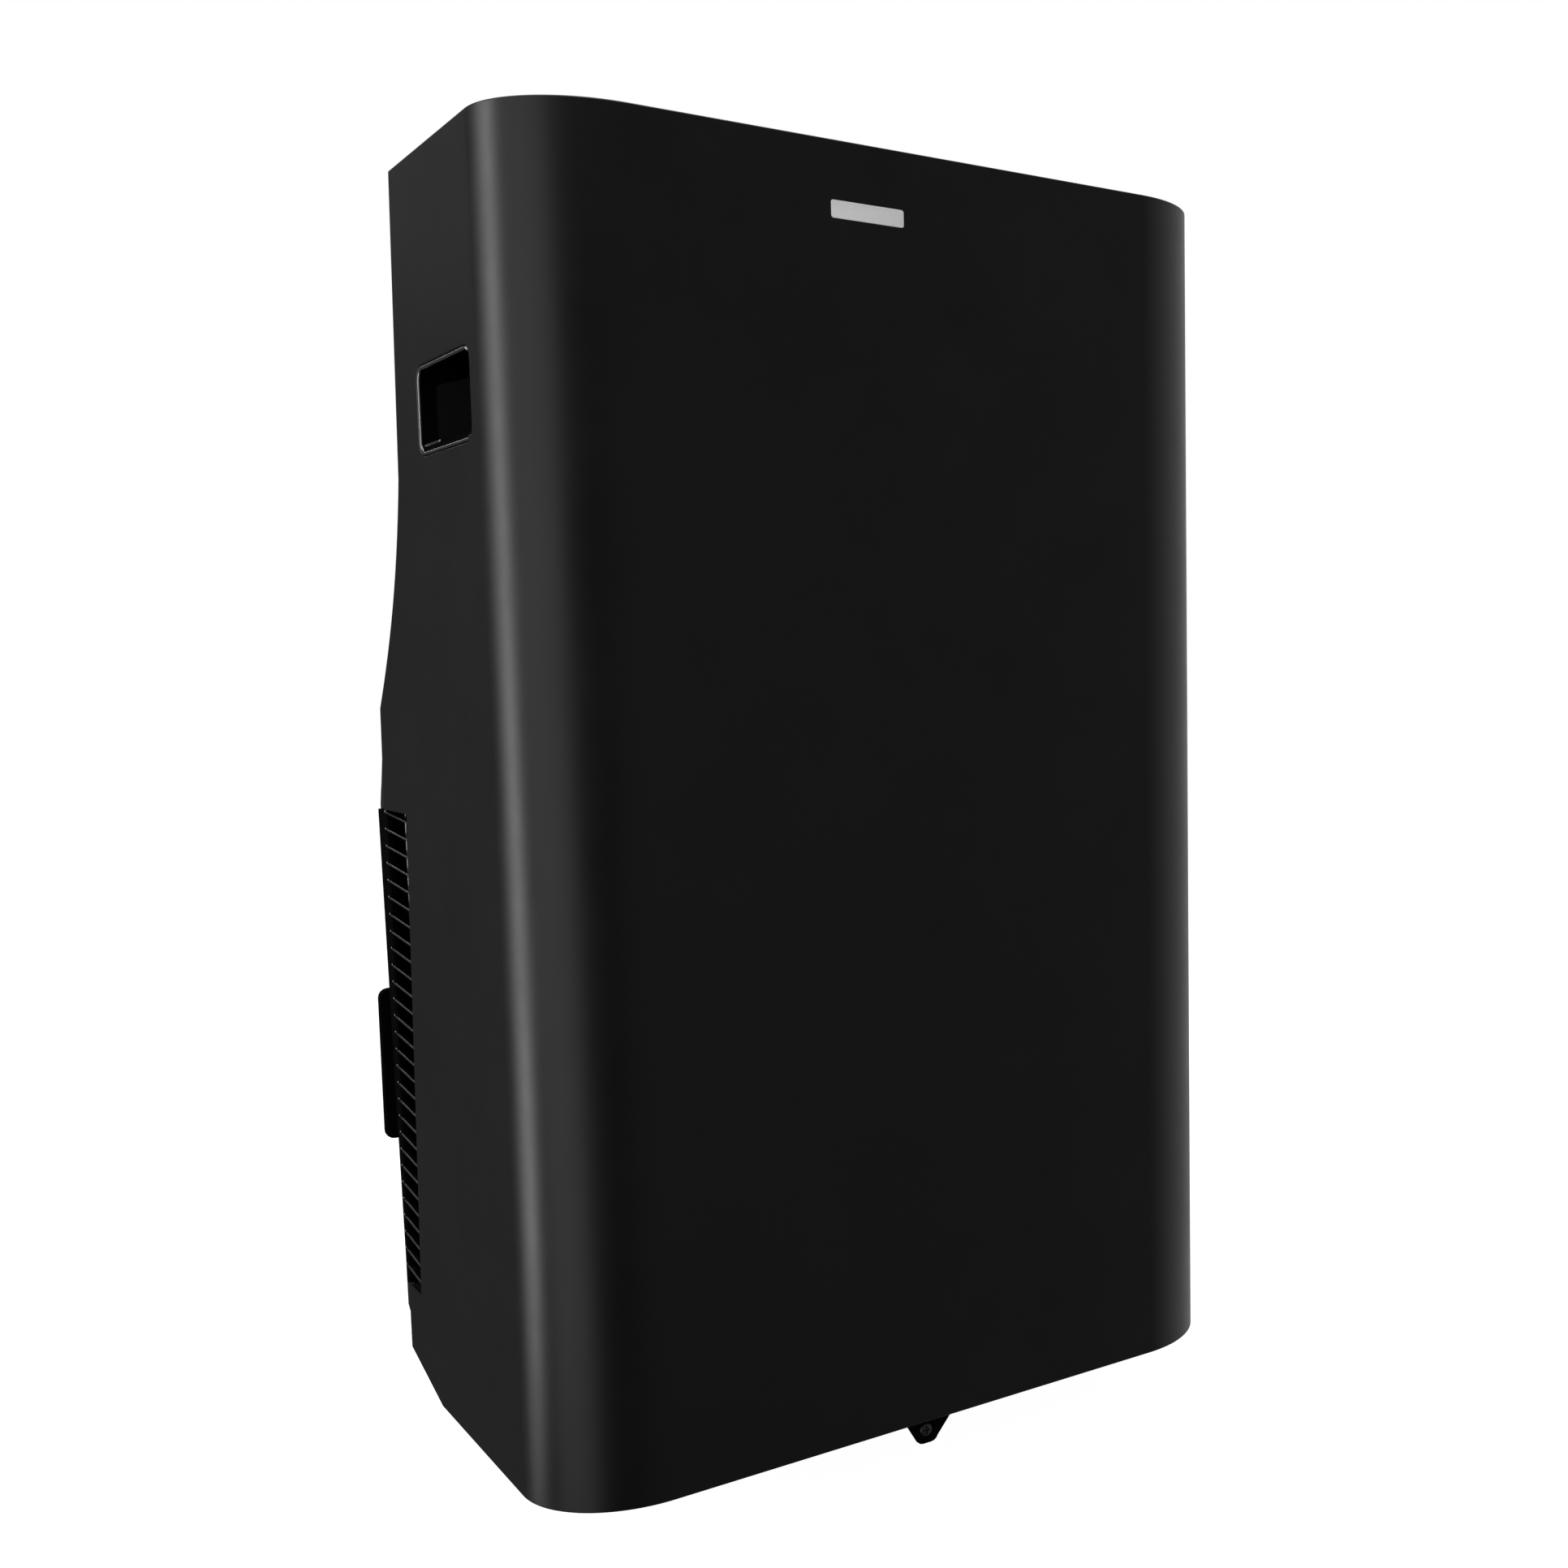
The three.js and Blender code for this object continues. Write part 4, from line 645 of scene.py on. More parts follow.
def top_lid():
    """The top plate with its outlet duct and the opening for the controls."""
    inset = WALL + FIT
    lid = model("top_lid", eased("z", lambda more: plan(inset + more, BACK_TOP_Y - more),
                                 (TOP_FACE_Z - TOP_THICKNESS, TOP_FACE_Z), 0.8))
    wall = 2.5
    skirt = rounded(grow((-OUTLET_X, OUTLET_X), wall), grow(OUTLET_Y, wall), 3)
    carve(lid, prism("z", skirt, (OUTLET_LOW, TOP_FACE_Z - 1)), "UNION")
    trim = eased("z", lambda more: rounded(
        grow((-OUTLET_X, OUTLET_X), 5 - more), grow(OUTLET_Y, 5 - more), 6 - more),
        (TOP_FACE_Z - 1.5, TOP_FACE_Z + 0.7), 0.6)
    carve(lid, trim, "UNION")
    carve(lid, prism("z", rounded((-OUTLET_X, OUTLET_X), OUTLET_Y, 1.5), (OUTLET_LOW - 1, TOP_FACE_Z + 2)))
    controls = rounded((-CONTROLS_X, CONTROLS_X), CONTROLS_Y, 6)
    carve(lid, prism("z", controls, (TOP_FACE_Z - 8, TOP_FACE_Z + 2)))
    pins = [prism("y", circle(x, VANE_AXIS_Z, 2.3, 16), grow(OUTLET_Y, 5)) for x in vane_places()]
    shaft = prism("x", circle(*FLAP_AXIS, 3.2, 20), (-OUTLET_X - 5, OUTLET_X + 5))
    carve(lid, merged(*pins, shaft))
    place(lid, "cabinet", "shell_black", ["top_cover"])
    # Four low clip marks along the lid's rear edge.
    clip_y = (BACK_TOP_Y - 7, BACK_TOP_Y - 4.5)
    clip_z = (TOP_FACE_Z - 0.2, TOP_FACE_Z + 0.35)
    clips = [pillow((x - 9, x + 9), clip_y, clip_z, 0.25) for x in (-170, -60, 60, 170)]
    add("lid_clip_marks", merged(*clips), "cabinet", "shell_black")


def rear_plan(inset, front):
    """The rear part from above: its sides draw in towards the back."""
    side = INNER_HALF - FIT - inset
    half = [(side, front), (side, TAPER_START_Y), (side - TAPER_DRAW, TAPER_END_Y), (side - TAIL_DRAW, DEPTH)]
    return [(-side, front)] + half + [(-x, y) for x, y in reversed(half[1:])]


def lower_back(front, inset, open_front):
    ledge = LEDGE_FRONT[1] - FIT + open_front
    return [(front, BACK_FOOT[1] + inset), (BACK_FOOT[0] - inset, BACK_FOOT[1] + inset),
            (BACK_EDGE[0] - inset, BACK_EDGE[1] - inset * 0.4),
            (LEDGE_BACK[0] - inset * 0.8, LEDGE_BACK[1] - inset * 0.8),
            (LEDGE_FRONT[0] - inset * 0.7, ledge), (front, ledge)]


def upper_back(front, inset, more):
    low = LEDGE_FRONT[1] - more
    top = TOP_FACE_Z - TOP_THICKNESS - FIT + more
    bends = [(y - inset, z) for y, z in BACK_CURVE]
    curve = bezier((LEDGE_FRONT[0] - inset, low), *bends, (BACK_HIP_Y - inset, HIP_TOP[1]))
    return [(front, low)] + curve + [(BACK_TOP_Y - inset, top), (front, top)]


def rear_upper_shell():
    side = INNER_HALF - FIT
    cover = model("rear_upper_shell", prism("x", upper_back(168, 0, 0), (-side, side)))
    boss = pillow(BOSS_X, (180, BOSS_BACK), (LEDGE_FRONT[1] - 8, BOSS_TOP), 1.2, 6, "y")
    carve(cover, boss, "UNION")
    drain_x, drain_z, drain_back = UPPER_DRAIN
    drain_boss_z = (LEDGE_FRONT[1] - 8, drain_z + 18)
    carve(cover, pillow((drain_x - 18, drain_x + 18), (195, drain_back), drain_boss_z, 1, 5, "y"), "UNION")
    below = [(150, 380), (300, 380), (300, LEDGE_FRONT[1]), (150, LEDGE_FRONT[1])]
    carve(cover, prism("x", below, (-HALF, HALF)))
    carve(cover, prism("x", upper_back(140, WALL, 1), (-side + WALL, side - WALL)))
    carve(cover, pillow(grow(BOSS_X, -WALL), (150, BOSS_BACK - WALL), (380, BOSS_TOP - WALL), 0.5, 4, "y"))
    drain_room_y = (150, drain_back - WALL)
    carve(cover, pillow((drain_x - 15, drain_x + 15), drain_room_y, (380, drain_z + 15), 0.5, 3, "y"))
    carve(cover, prism("y", circle(*PORT, PORT_RADIUS + WALL + FIT, 72), (BOSS_BACK - 10, BOSS_BACK + 5)))
    carve(cover, prism("y", rounded(*UPPER_WINDOW, 3), (150, 220)))
    carve(cover, prism("y", circle(drain_x, drain_z, DRAIN_HOLE, 28), (200, 270)))
    soften(cover, 0.8, 2)
    place(cover, "cabinet", "rear_black", ["rear_cover_upper"])


def notch_edge(z):
    return NOTCH_Y + FIT + (NOTCH_TOP_Z - z) * NOTCH_LEAN


def wing_rear(z):
    return WING_LOW_Y + (WING_TOP_Y - WING_LOW_Y) * (z - NOTCH_LOW_Z) / (NOTCH_TOP_Z - NOTCH_LOW_Z)


def slat(z):
    """One louvre of the slotted corner: a round outer edge on a thin blade that dips inwards."""
    nose = arc(SLAT_RADIUS, 0, SLAT_RADIUS, SLAT_RADIUS, 90, 270, 8)
    section = [(SLAT_DEPTH, 0.3 - SLAT_DIP)] + nose + [(SLAT_DEPTH, -0.3 - SLAT_DIP)]
    span = ((notch_edge(z) + 0.5, -SLAT_DROP), (SLOT_END_Y + 1, 0))
    return loft([[(-HALF + FIT + across, y, z + up + lift) for across, up in section] for y, lift in span])


def leaning(front, rear, across, ease=0.0):
    """An upright slab between two edges that may lean, eased along the outer side."""
    low, high = NOTCH_LOW_Z + FIT, NOTCH_TOP_Z - FIT
    rings = []
    for inset, x in ((ease, across[0]), (0.0, across[0] + ease), (0.0, across[1])):
        rings.append([(x, front(high) + inset, high), (x, rear(high) - inset, high),
                      (x, rear(low) - inset, low), (x, front(low) + inset, low)])
    return loft(rings)


def corner_wing():
    """The slotted corner's bright-edged louvres, with a bead behind each of them."""
    low = NOTCH_LOW_Z + FIT
    high = NOTCH_TOP_Z - FIT
    solids = []
    count = int((NOTCH_TOP_Z - NOTCH_LOW_Z - 6) / SLOT_PITCH)
    bead_y = SLOT_END_Y + 3.4
    for index in range(count + 1):
        z = NOTCH_TOP_Z - 1.6 - index * SLOT_PITCH
        solids.append(slat(z))
        bead_z = (z - 0.4, z + 1.6)
        solids.append(pillow((-HALF + FIT, -HALF + 2), (bead_y - 1, bead_y + 1), bead_z, 0.9))
    rib_y = NOTCH_Y + 22
    solids.append(pillow((-HALF + 5.5, -HALF + 8.5), (rib_y, rib_y + 2.2), (low, high), 0.6))
    return merged(*solids)


def corner_frame():
    """The strip that closes the slotted corner at the back and the thin wall inside it, both of which take
    the painted shade black.
    """
    low = NOTCH_LOW_Z + FIT
    high = NOTCH_TOP_Z - FIT
    strip = leaning(lambda z: SLOT_END_Y, wing_rear, (-HALF + FIT + 0.3, -HALF + FIT + WING_THICKNESS), 0.8)
    inner = [(-HALF + 10, NOTCH_Y + 1), (-HALF + 11, NOTCH_Y + 1),
             (-HALF + 16.5, WING_TOP_Y), (-HALF + 15.5, WING_TOP_Y)]
    return merged(strip, prism("z", inner, (low, high)))


def rear_lower_shell():
    cover = model("rear_lower_shell", prism("x", lower_back(200, 0, 0), (-HALF, HALF)))
    carve(cover, prism("z", rear_plan(0, 195), (-5, HEIGHT)), "INTERSECT")
    inner = model("inner", prism("x", lower_back(INNER_FRONT_Y, WALL, 1), (-HALF, HALF)))
    carve(inner, prism("z", rear_plan(WALL, INNER_FRONT_Y), (-5, HEIGHT)), "INTERSECT")
    step = cover.modifiers.new("carve", "BOOLEAN")
    step.solver = "EXACT"
    step.object = inner
    bake(cover)
    bpy.data.objects.remove(inner)
    side = INNER_HALF - FIT - WALL
    rear_side = side - TAPER_DRAW * (PAN_ROOM_Y - TAPER_START_Y) / (TAPER_END_Y - TAPER_START_Y)
    room = [(side, INNER_FRONT_Y), (side, TAPER_START_Y), (rear_side, PAN_ROOM_Y)]
    room += [(-x, y) for x, y in reversed(room)]
    carve(cover, prism("z", room, (0, NOTCH_LOW_Z)))
    carve(cover, prism("y", rounded(*LOWER_WINDOW, 3), (270, DEPTH)))
    across = grow((-HALF, HALF), 1)
    for rear, span in ((LOW_LAP_Y, (0, NOTCH_LOW_Z)), (HIGH_LAP_Y, (NOTCH_TOP_Z, HEIGHT)),
                       (TAPER_START_Y, (NOTCH_LOW_Z, NOTCH_TOP_Z))):
        carve(cover, prism("z", rounded(across, (INNER_FRONT_Y, rear), 0.5), span))
    carve(cover, merged(prism("y", circle(*LOWER_DRAIN[:2], DRAIN_HOLE, 28), (270, DEPTH)),
                        prism("y", circle(*CORD_INLET[:2], CORD_HOLE, 28), (270, DEPTH))))
    soften(cover, 0.9, 2)
    place(cover, "cabinet", "rear_black", ["rear_cover_lower"])
    wing = corner_wing()
    edge = corner_frame()
    for side_name, flip in SIDES.items():
        add("corner_louvres_" + side_name, flip(wing), "cabinet", "rear_black", look=SLAT_LOOK)
        # Painted shade: the corner frames and their inner walls take the dark matte shade look.
        add("corner_frame_" + side_name, flip(edge), "cabinet", "rear_black", look=PAINTED_SHADE_LOOK)


def filter_frame(name, node, tilt, y0, z0, half_width, height, thickness, columns, rows):
    """A pull-out filter: a rounded border, ribs, tilted slats outside and a fine net inside."""
    border = 9.0
    rib = 5.0
    fit = lambda solid: tilted(solid, tilt, y0, z0)
    wide = (2 * (half_width - border) - rib * (columns - 1)) / columns
    tall = (height - 2 * border - rib * (rows - 1)) / rows
    made = model(name, fit(pillow((-half_width, half_width), (0, thickness), (0, height), 0.8, 3, "y")))
    holes = []
    for column in range(columns):
        for row in range(rows):
            x = -half_width + border + column * (wide + rib)
            z = border + row * (tall + rib)
            holes.append(fit(pillow((x, x + wide), (-2, thickness + 2), (z, z + tall), 0.3, 2, "y")))
    carve(made, merged(*holes))
    soften(made, 0.5, 2)
    place(made, node, "rear_black", [node])
    slats = []
    pitch = 6.5
    count = int((height - 2 * border) / pitch)
    for index in range(count):
        z = border + pitch * (index + 0.5)
        blade = pillow((-half_width + border - 1, half_width - border + 1), (-1.6, 1.6), (-0.6, 0.6), 0.45)
        slats.append(fit(tilted(blade, 35, thickness - 2.2, z)))
    tab = pillow((-22, 22), (thickness - 1, thickness + 4), (height - 8, height - 3), 1.2)
    slats.append(fit(tab))
    add(name + "_slats", merged(*slats), node, "rear_black")
    strands = []
    strand = 0.3
    mesh_pitch = 3.0
    inner_x = half_width - border + 1
    inner_z = (border - 1, height - border + 1)
    for index in range(int(2 * inner_x / mesh_pitch)):
        x = -inner_x + mesh_pitch * (index + 0.5)
        strands.append(fit(prism("z", rounded((x - strand, x + strand), (1.0, 1.5), 0.1, 1), inner_z)))
    for index in range(int((inner_z[1] - inner_z[0]) / mesh_pitch)):
        z = inner_z[0] + mesh_pitch * (index + 0.5)
        thread = rounded((0.7, 1.2), (z - strand, z + strand), 0.1, 1)
        strands.append(fit(prism("x", thread, (-inner_x, inner_x))))
    add(name + "_net", merged(*strands), node, "rear_black", look=NET_LOOK)


# ---- Fittings ----
def cord_hooks():
    """Two hooks that the cord winds round: a foot, an arm and a lip turned towards the side."""
    slope = (BACK_EDGE[0] - BACK_FOOT[0]) / (BACK_EDGE[1] - BACK_FOOT[1])
    foot_y = BACK_FOOT[0] - BACK_FOOT[1] * slope + FIT
    for side, flip in SIDES.items():
        arm = pillow((-190, -185), (297, 342), CLEAT_Z, 1.2, 2, "y")
        lip = pillow((-204, -183), (339.5, DEPTH), CLEAT_Z, 1.6, 6, "y")
        base = pillow((-200, -176), (299, 307), grow(CLEAT_Z, -6), 1, 4, "y")
        hook = model("cord_hook_" + side, flip(arm))
        carve(hook, flip(lip), "UNION")
        carve(hook, flip(base), "UNION")
        inside = [(150, 0), (foot_y, 0), (foot_y + slope * HEIGHT, HEIGHT), (150, HEIGHT)]
        carve(hook, prism("x", inside, (-HALF, HALF)))
        # The hooks take the painted shade black.
        place(hook, "cabinet", "rear_black", ["cord_cleat_" + side], look=PAINTED_SHADE_LOOK)


def exhaust_port():
    bore = PORT_RADIUS
    outer = PORT_RADIUS + WALL
    front = 243.0
    profile = [
        (bore, front), (outer, front), (outer, BOSS_BACK + FIT), (outer + 5.2, BOSS_BACK + FIT),
        (outer + 6, BOSS_BACK + 1), (outer + 6, BOSS_BACK + 2.4), (outer + 5.3, BOSS_BACK + 3),
        (outer + 1.2, BOSS_BACK + 3), (outer, BOSS_BACK + 4.2), (outer, PORT_REAR - 6),
        (outer + 1.2, PORT_REAR - 5),
        (outer + 1.5, PORT_REAR - 3.5), (outer + 1.2, PORT_REAR - 2.4), (outer, PORT_REAR - 1.4),
        (outer - 0.7, PORT_REAR - 0.1), (bore + 0.8, PORT_REAR), (bore, PORT_REAR - 0.8),
    ]
    ring = lathe("y", PORT, profile, 96, closed=True)
    add("exhaust_ring", ring, "cabinet", "rear_black", ["exhaust_collar"])
    keys = []
    for index in range(3):
        angle = math.radians(90 + index * 120)
        x, z = PORT[0] + outer * math.cos(angle), PORT[1] + outer * math.sin(angle)
        keys.append(pillow((x - 5, x + 5), (PORT_REAR - 14, PORT_REAR - 8), (z - 1.6, z + 1.6), 0.6))
    add("exhaust_ring_keys", merged(*keys), "cabinet", "rear_black")


def drain_plug(name, node, body, x, z, back):
    profile = [(0, back - 12), (6.6, back - 12), (8, back - 10.5), (8, back + FIT), (11, back + FIT),
               (12, back + 1.2), (12, back + 3.2), (11.2, back + 4), (0, back + 4)]
    plug = lathe("y", (x, z), profile, 40)
    wing = pillow((x - 2, x + 2), (back + 3, back + 9), (z - 9, z + 9), 0.9, 1.8, "x")
    rib_y = (back + 4.5, back + 8)
    ribs = [pillow((x + side * 2 - 0.4, x + side * 2 + 0.4), rib_y, (z + step - 0.5, z + step + 0.5), 0.3)
            for side in (-1, 1) for step in (-6, -3, 0, 3, 6)]
    add(name, merged(plug, wing, *ribs), body, "rubber_black", [node])


def cord_grommet():
    x, z, back = CORD_INLET
    profile = [(4, back - 10), (7, back - 10), (7, back), (10.2, back), (11, back + 0.8), (11, back + 2.6),
               (9.6, back + 3.4), (7.5, back + 5), (5, back + 5), (4, back + 4.2)]
    ring = lathe("y", (x, z), profile, 40, closed=True)
    add("cord_grommet", ring, "cabinet", "rubber_black", ["cord_gland"])


def front_foot_tab():
    """The tongue below the front edge and its cross-head screw."""
    outline = [(-17, 1.7), (-9, -12), (-8, -13.6), (-6.6, -14.6), (-4.6, -15), (0.6, -15),
               (2.6, -14.6), (4, -13.6), (5, -12), (17, 1.7)]
    screw_x, screw_z = -4, -6
    tab = model("foot_tab", prism("y", outline, (5, 8)))
    carve(tab, prism("y", circle(screw_x, screw_z, 2.1, 24), (4, 9)))
    soften(tab, 0.6, 3, 25)
    # The tab takes the painted shade look.
    place(tab, "cabinet", "rear_black", ["front_tab"], look=TAB_SHADE_LOOK)
    add_screw("foot_tab_screw", (screw_x, 2.7, screw_z), -1, 3.7, "bright_steel", ["tab_screw"], SCREW_LOOK)


def add_screw(name, point, facing, radius, slot, replaces=(), look=None):
    """A pan-head screw with a cross recess; facing is +1 when its head looks towards the back."""
    x, y, z = point
    profile = [(0, 2), (radius, 2), (radius, 0.9), (radius * 0.93, 0.35), (radius * 0.7, 0.05),
               (radius * 0.35, 0), (0, 0)]
    head = model(name, lathe("y", (x, z), [(r, y - facing * t) for r, t in profile], 32))
    arm = radius * 0.62
    slit = radius * 0.13
    reach = (min(y + facing, y - facing * 1.1), max(y + facing, y - facing * 1.1))
    carve(head, prism("y", rounded((x - arm, x + arm), (z - slit, z + slit), 0.2, 2), reach))
    carve(head, prism("y", rounded((x - slit, x + slit), (z - arm, z + arm), 0.2, 2), reach))
    place(head, "cabinet", slot, replaces, look=look)


def back_screws():
    slope = (BACK_EDGE[0] - BACK_FOOT[0]) / (BACK_EDGE[1] - BACK_FOOT[1])
    low = [(x, BACK_FOOT[0] + (z - BACK_FOOT[1]) * slope + 0.6, z) for x, z in (
        (-184, 250), (184, 250), (-184, 110), (184, 110), (-60, 37.5), (60, 37.5))]
    high = [(x, BOSS_BACK + 0.6, z) for x, z in ((20, 412), (170, 412), (20, 556), (170, 556))]
    for index, point in enumerate(low + high):
        add_screw("back_screw_%02d" % (index + 1), point, 1, 3.2, "compressor_black")


def casters():
    wheel_z = FLOOR_Z + WHEEL_RADIUS
    half = WHEEL_WIDTH / 2
    for name, (x, y) in CASTERS.items():
        axle_y = y + CASTER_TRAIL
        top = POCKET_CEILING - FIT
        fork = model("caster_frame_" + name, disc("z", (x, y), 15, (top - 3, top), 0.5))
        stem_top = POCKET_CEILING + 5
        stem = [(0, top - 2), (4, top - 2), (4, stem_top - 1), (3.2, stem_top), (0, stem_top)]
        carve(fork, lathe("z", (x, y), stem, 24), "UNION")
        cheek = [(y - 13, top - 1), (axle_y - 6, wheel_z - 3), (axle_y - 4, wheel_z - 6),
                 (axle_y + 4, wheel_z - 6), (axle_y + 6.5, wheel_z - 3), (axle_y + 7, wheel_z + 5),
                 (y + 13, top - 1)]
        for low in (x + half + 1, x - half - 3.5):
            carve(fork, prism("x", cheek, (low, low + 2.5)), "UNION")
        carve(fork, disc("x", (axle_y, wheel_z), 2.5, (x - half - 3.8, x + half + 3.8), 0.4, 20), "UNION")
        soften(fork, 0.5, 2)
        place(fork, "caster_" + name, "fan_black", ["caster_fork_" + name])
        profile = [(3, -half), (7, -half), (7.4, -half + 1.2), (13.5, -half + 1.6), (14, -half + 0.2),
                   (WHEEL_RADIUS - 1.6, -half + 0.2), (WHEEL_RADIUS - 0.4, -half + 1.1),
                   (WHEEL_RADIUS, -half + 2.6), (WHEEL_RADIUS, -0.9), (WHEEL_RADIUS - 0.5, -0.5)]
        profile += [(r, -t) for r, t in reversed(profile)]
        wheel = lathe("x", (axle_y, wheel_z), [(r, x + t) for r, t in profile], 48, closed=True)
        spokes = []
        for index in range(6):
            blade = pillow((-half + 0.6, half - 0.6), (7, 14), (-0.8, 0.8), 0.3)
            turn = math.radians(index * 60)
            c, s = math.cos(turn), math.sin(turn)
            spokes.append(moved(blade, lambda a, b, t, c=c, s=s: (
                x + a, axle_y + b * c - t * s, wheel_z + b * s + t * c)))
        roller = merged(wheel, *spokes)
        add("caster_roller_" + name, roller, "wheel_" + name, "wheel_grey", ["caster_wheel_" + name])


# ---- Outlet and controls ----
def louvre_lid():
    """The flap: a lid with shallow grooves that runs into the round barrel it turns on."""
    axis_y, axis_z = FLAP_AXIS
    front = OUTLET_Y[0] + 1.5
    under = TOP_FACE_Z - 3
    groove = 0.5
    profile = [(front, TOP_FACE_Z - 6), (front, TOP_FACE_Z - 0.8), (front + 0.8, TOP_FACE_Z)]
    for y in (36, 48, 60, 72, 84):
        profile += [(y - 0.9, TOP_FACE_Z), (y - 0.4, TOP_FACE_Z - groove), (y + 0.4, TOP_FACE_Z - groove),
                    (y + 0.9, TOP_FACE_Z)]
    meet = math.degrees(math.asin((under - axis_z) / FLAP_BARREL))
    profile += arc(axis_y, axis_z, FLAP_BARREL, FLAP_BARREL, 90, meet - 180, 36)
    profile += [(front + 2.5, under), (front + 2.5, TOP_FACE_Z - 6)]
    wide = (-OUTLET_X + 1.5, OUTLET_X - 1.5)
    lid = model("louvre_lid", prism("x", profile, wide))
    socket = prism("x", circle(axis_y, axis_z, 2.8, 24), (wide[1] - 10, wide[1] + 1))
    carve(lid, socket)
    pin = disc("x", FLAP_AXIS, 2.6, (wide[0] - 5, wide[0] + 2), 0.5, 24)
    carve(lid, pin, "UNION")
    place(lid, "flap", "shell_black", ["louvre_flap"], angle=30)


def guide_vanes():
    """Five steering blades on pins, each with a crank that sits in the link rail."""
    crank_z = VANE_AXIS_Z - VANE_DROP
    for index, x in enumerate(vane_places()):
        name = str(index + 1)
        half = 5.0
        section = [(x + a, VANE_AXIS_Z + b) for a, b in (
            (0, -half), (0.7, -half + 1.2), (1, 0), (0.7, half - 1.2), (0, half), (-0.7, half - 1.2), (-1, 0),
            (-0.7, -half + 1.2))]
        blade = prism("y", section, grow(OUTLET_Y, -3))
        pins = disc("y", (x, VANE_AXIS_Z), 1.8, grow(OUTLET_Y, 2), 0.4, 16)
        collar_spans = ((OUTLET_Y[0] + 0.6, OUTLET_Y[0] + 3.5), (OUTLET_Y[1] - 3.5, OUTLET_Y[1] - 0.6))
        collars = [disc("y", (x, VANE_AXIS_Z), 3, span, 0.3, 20) for span in collar_spans]
        crank = pillow((x - 1, x + 1), (62, 70), (crank_z - 1.5, VANE_AXIS_Z - 3.5), 0.4)
        pin = disc("y", (x, crank_z), 1.15, (69, 76), 0.3, 16)
        add("steering_vane_" + name, merged(blade, pins, *collars, crank, pin), "vane_" + name, "fan_black",
            ["guide_vane_" + name])
    end = vane_places()[-1] + 8
    rail = model("vane_rail", pillow((-end, end), (71.5, 75), (crank_z - 4.5, crank_z + 2.5), 0.5))
    slots = [pillow((x - 1.8, x + 1.8), (70, 77), (crank_z - 2, crank_z + 5), 0.5) for x in vane_places()]
    carve(rail, merged(*slots))
    place(rail, "vane_link", "fan_black", ["vane_link"])


def control_fascia():
    x_span = grow((-CONTROLS_X, CONTROLS_X), -FIT)
    y_span = grow(CONTROLS_Y, -FIT)
    z_span = (TOP_FACE_Z - TOP_THICKNESS, TOP_FACE_Z + 0.3)
    fascia = model("control_fascia", pillow(x_span, y_span, z_span, 0.5, 6))
    flange = pillow(grow(x_span, -4), grow(y_span, 4), (687.5, 691.4), 0.3)
    carve(fascia, flange, "UNION")
    holes = [prism("z", circle(x, BUTTON_Y, BUTTON_RADIUS + FIT, 40), (680, TOP_FACE_Z + 2))
             for x in button_places()]
    carve(fascia, merged(*holes))
    window = pillow((-27, 27), (124, 142), (TOP_FACE_Z - 0.6, TOP_FACE_Z + 2), 0.2, 3)
    carve(fascia, window)
    place(fascia, "cabinet", "gloss_black", ["control_panel"])
    glass = pillow((-26.7, 26.7), (124.3, 141.7), (TOP_FACE_Z - 0.5, TOP_FACE_Z + 0.25), 0.2, 2.8)
    add("display_glass", glass, "cabinet", "gloss_black", look=GLASS_LOOK)
    lamps = [disc("z", (x, 138), 1.1, (TOP_FACE_Z - 0.5, TOP_FACE_Z + 0.45), 0.2, 20)
             for x in button_places() if abs(x) > 27]
    add("indicator_lamps", merged(*lamps), "cabinet", "button_grey", look=PRINT_LOOK)


def bar(x, y, angle, length, width=0.8):
    """A short printed stroke on a button top, centred on (x, y)."""
    stroke = rounded((-length / 2, length / 2), (-width / 2, width / 2), width / 2 - 0.01, 3)
    c, s = math.cos(math.radians(angle)), math.sin(math.radians(angle))
    return [(x + a * c - b * s, y + a * s + b * c) for a, b in stroke]


def ring_part(x, y, radius, start, end, width=0.8):
    """A printed arc on a button top."""
    outer = arc(x, y, radius + width / 2, radius + width / 2, start, end, 20)
    inner = arc(x, y, radius - width / 2, radius - width / 2, start, end, 20)
    return outer + list(reversed(inner))


def symbols():
    """One plain sign for each button: power, sleep, timer, minus, plus, fan, swing."""
    y = BUTTON_Y
    at = button_places()
    return [
        [ring_part(at[0], y, 2.6, 120, 420), bar(at[0], y + 2, 90, 3)],
        [ring_part(at[1], y, 2.6, -110, 110), ring_part(at[1] - 1.6, y, 2.6, -62, 62)],
        [ring_part(at[2], y, 2.8, 0, 359), bar(at[2], y + 0.9, 90, 2), bar(at[2] + 0.8, y, 0, 1.8)],
        [bar(at[3], y, 0, 5)],
        [bar(at[4], y, 0, 5), bar(at[4], y, 90, 5)],
        [ring_part(at[5] + 1.5 * math.cos(a), y + 1.5 * math.sin(a), 1.5,
                   math.degrees(a) - 90, math.degrees(a) + 90)
         for a in (math.pi / 2, math.pi * 7 / 6, math.pi * 11 / 6)],
        [bar(at[6], y + 2, 0, 5), bar(at[6], y, 12, 5), bar(at[6], y - 2, 24, 5)],
    ]


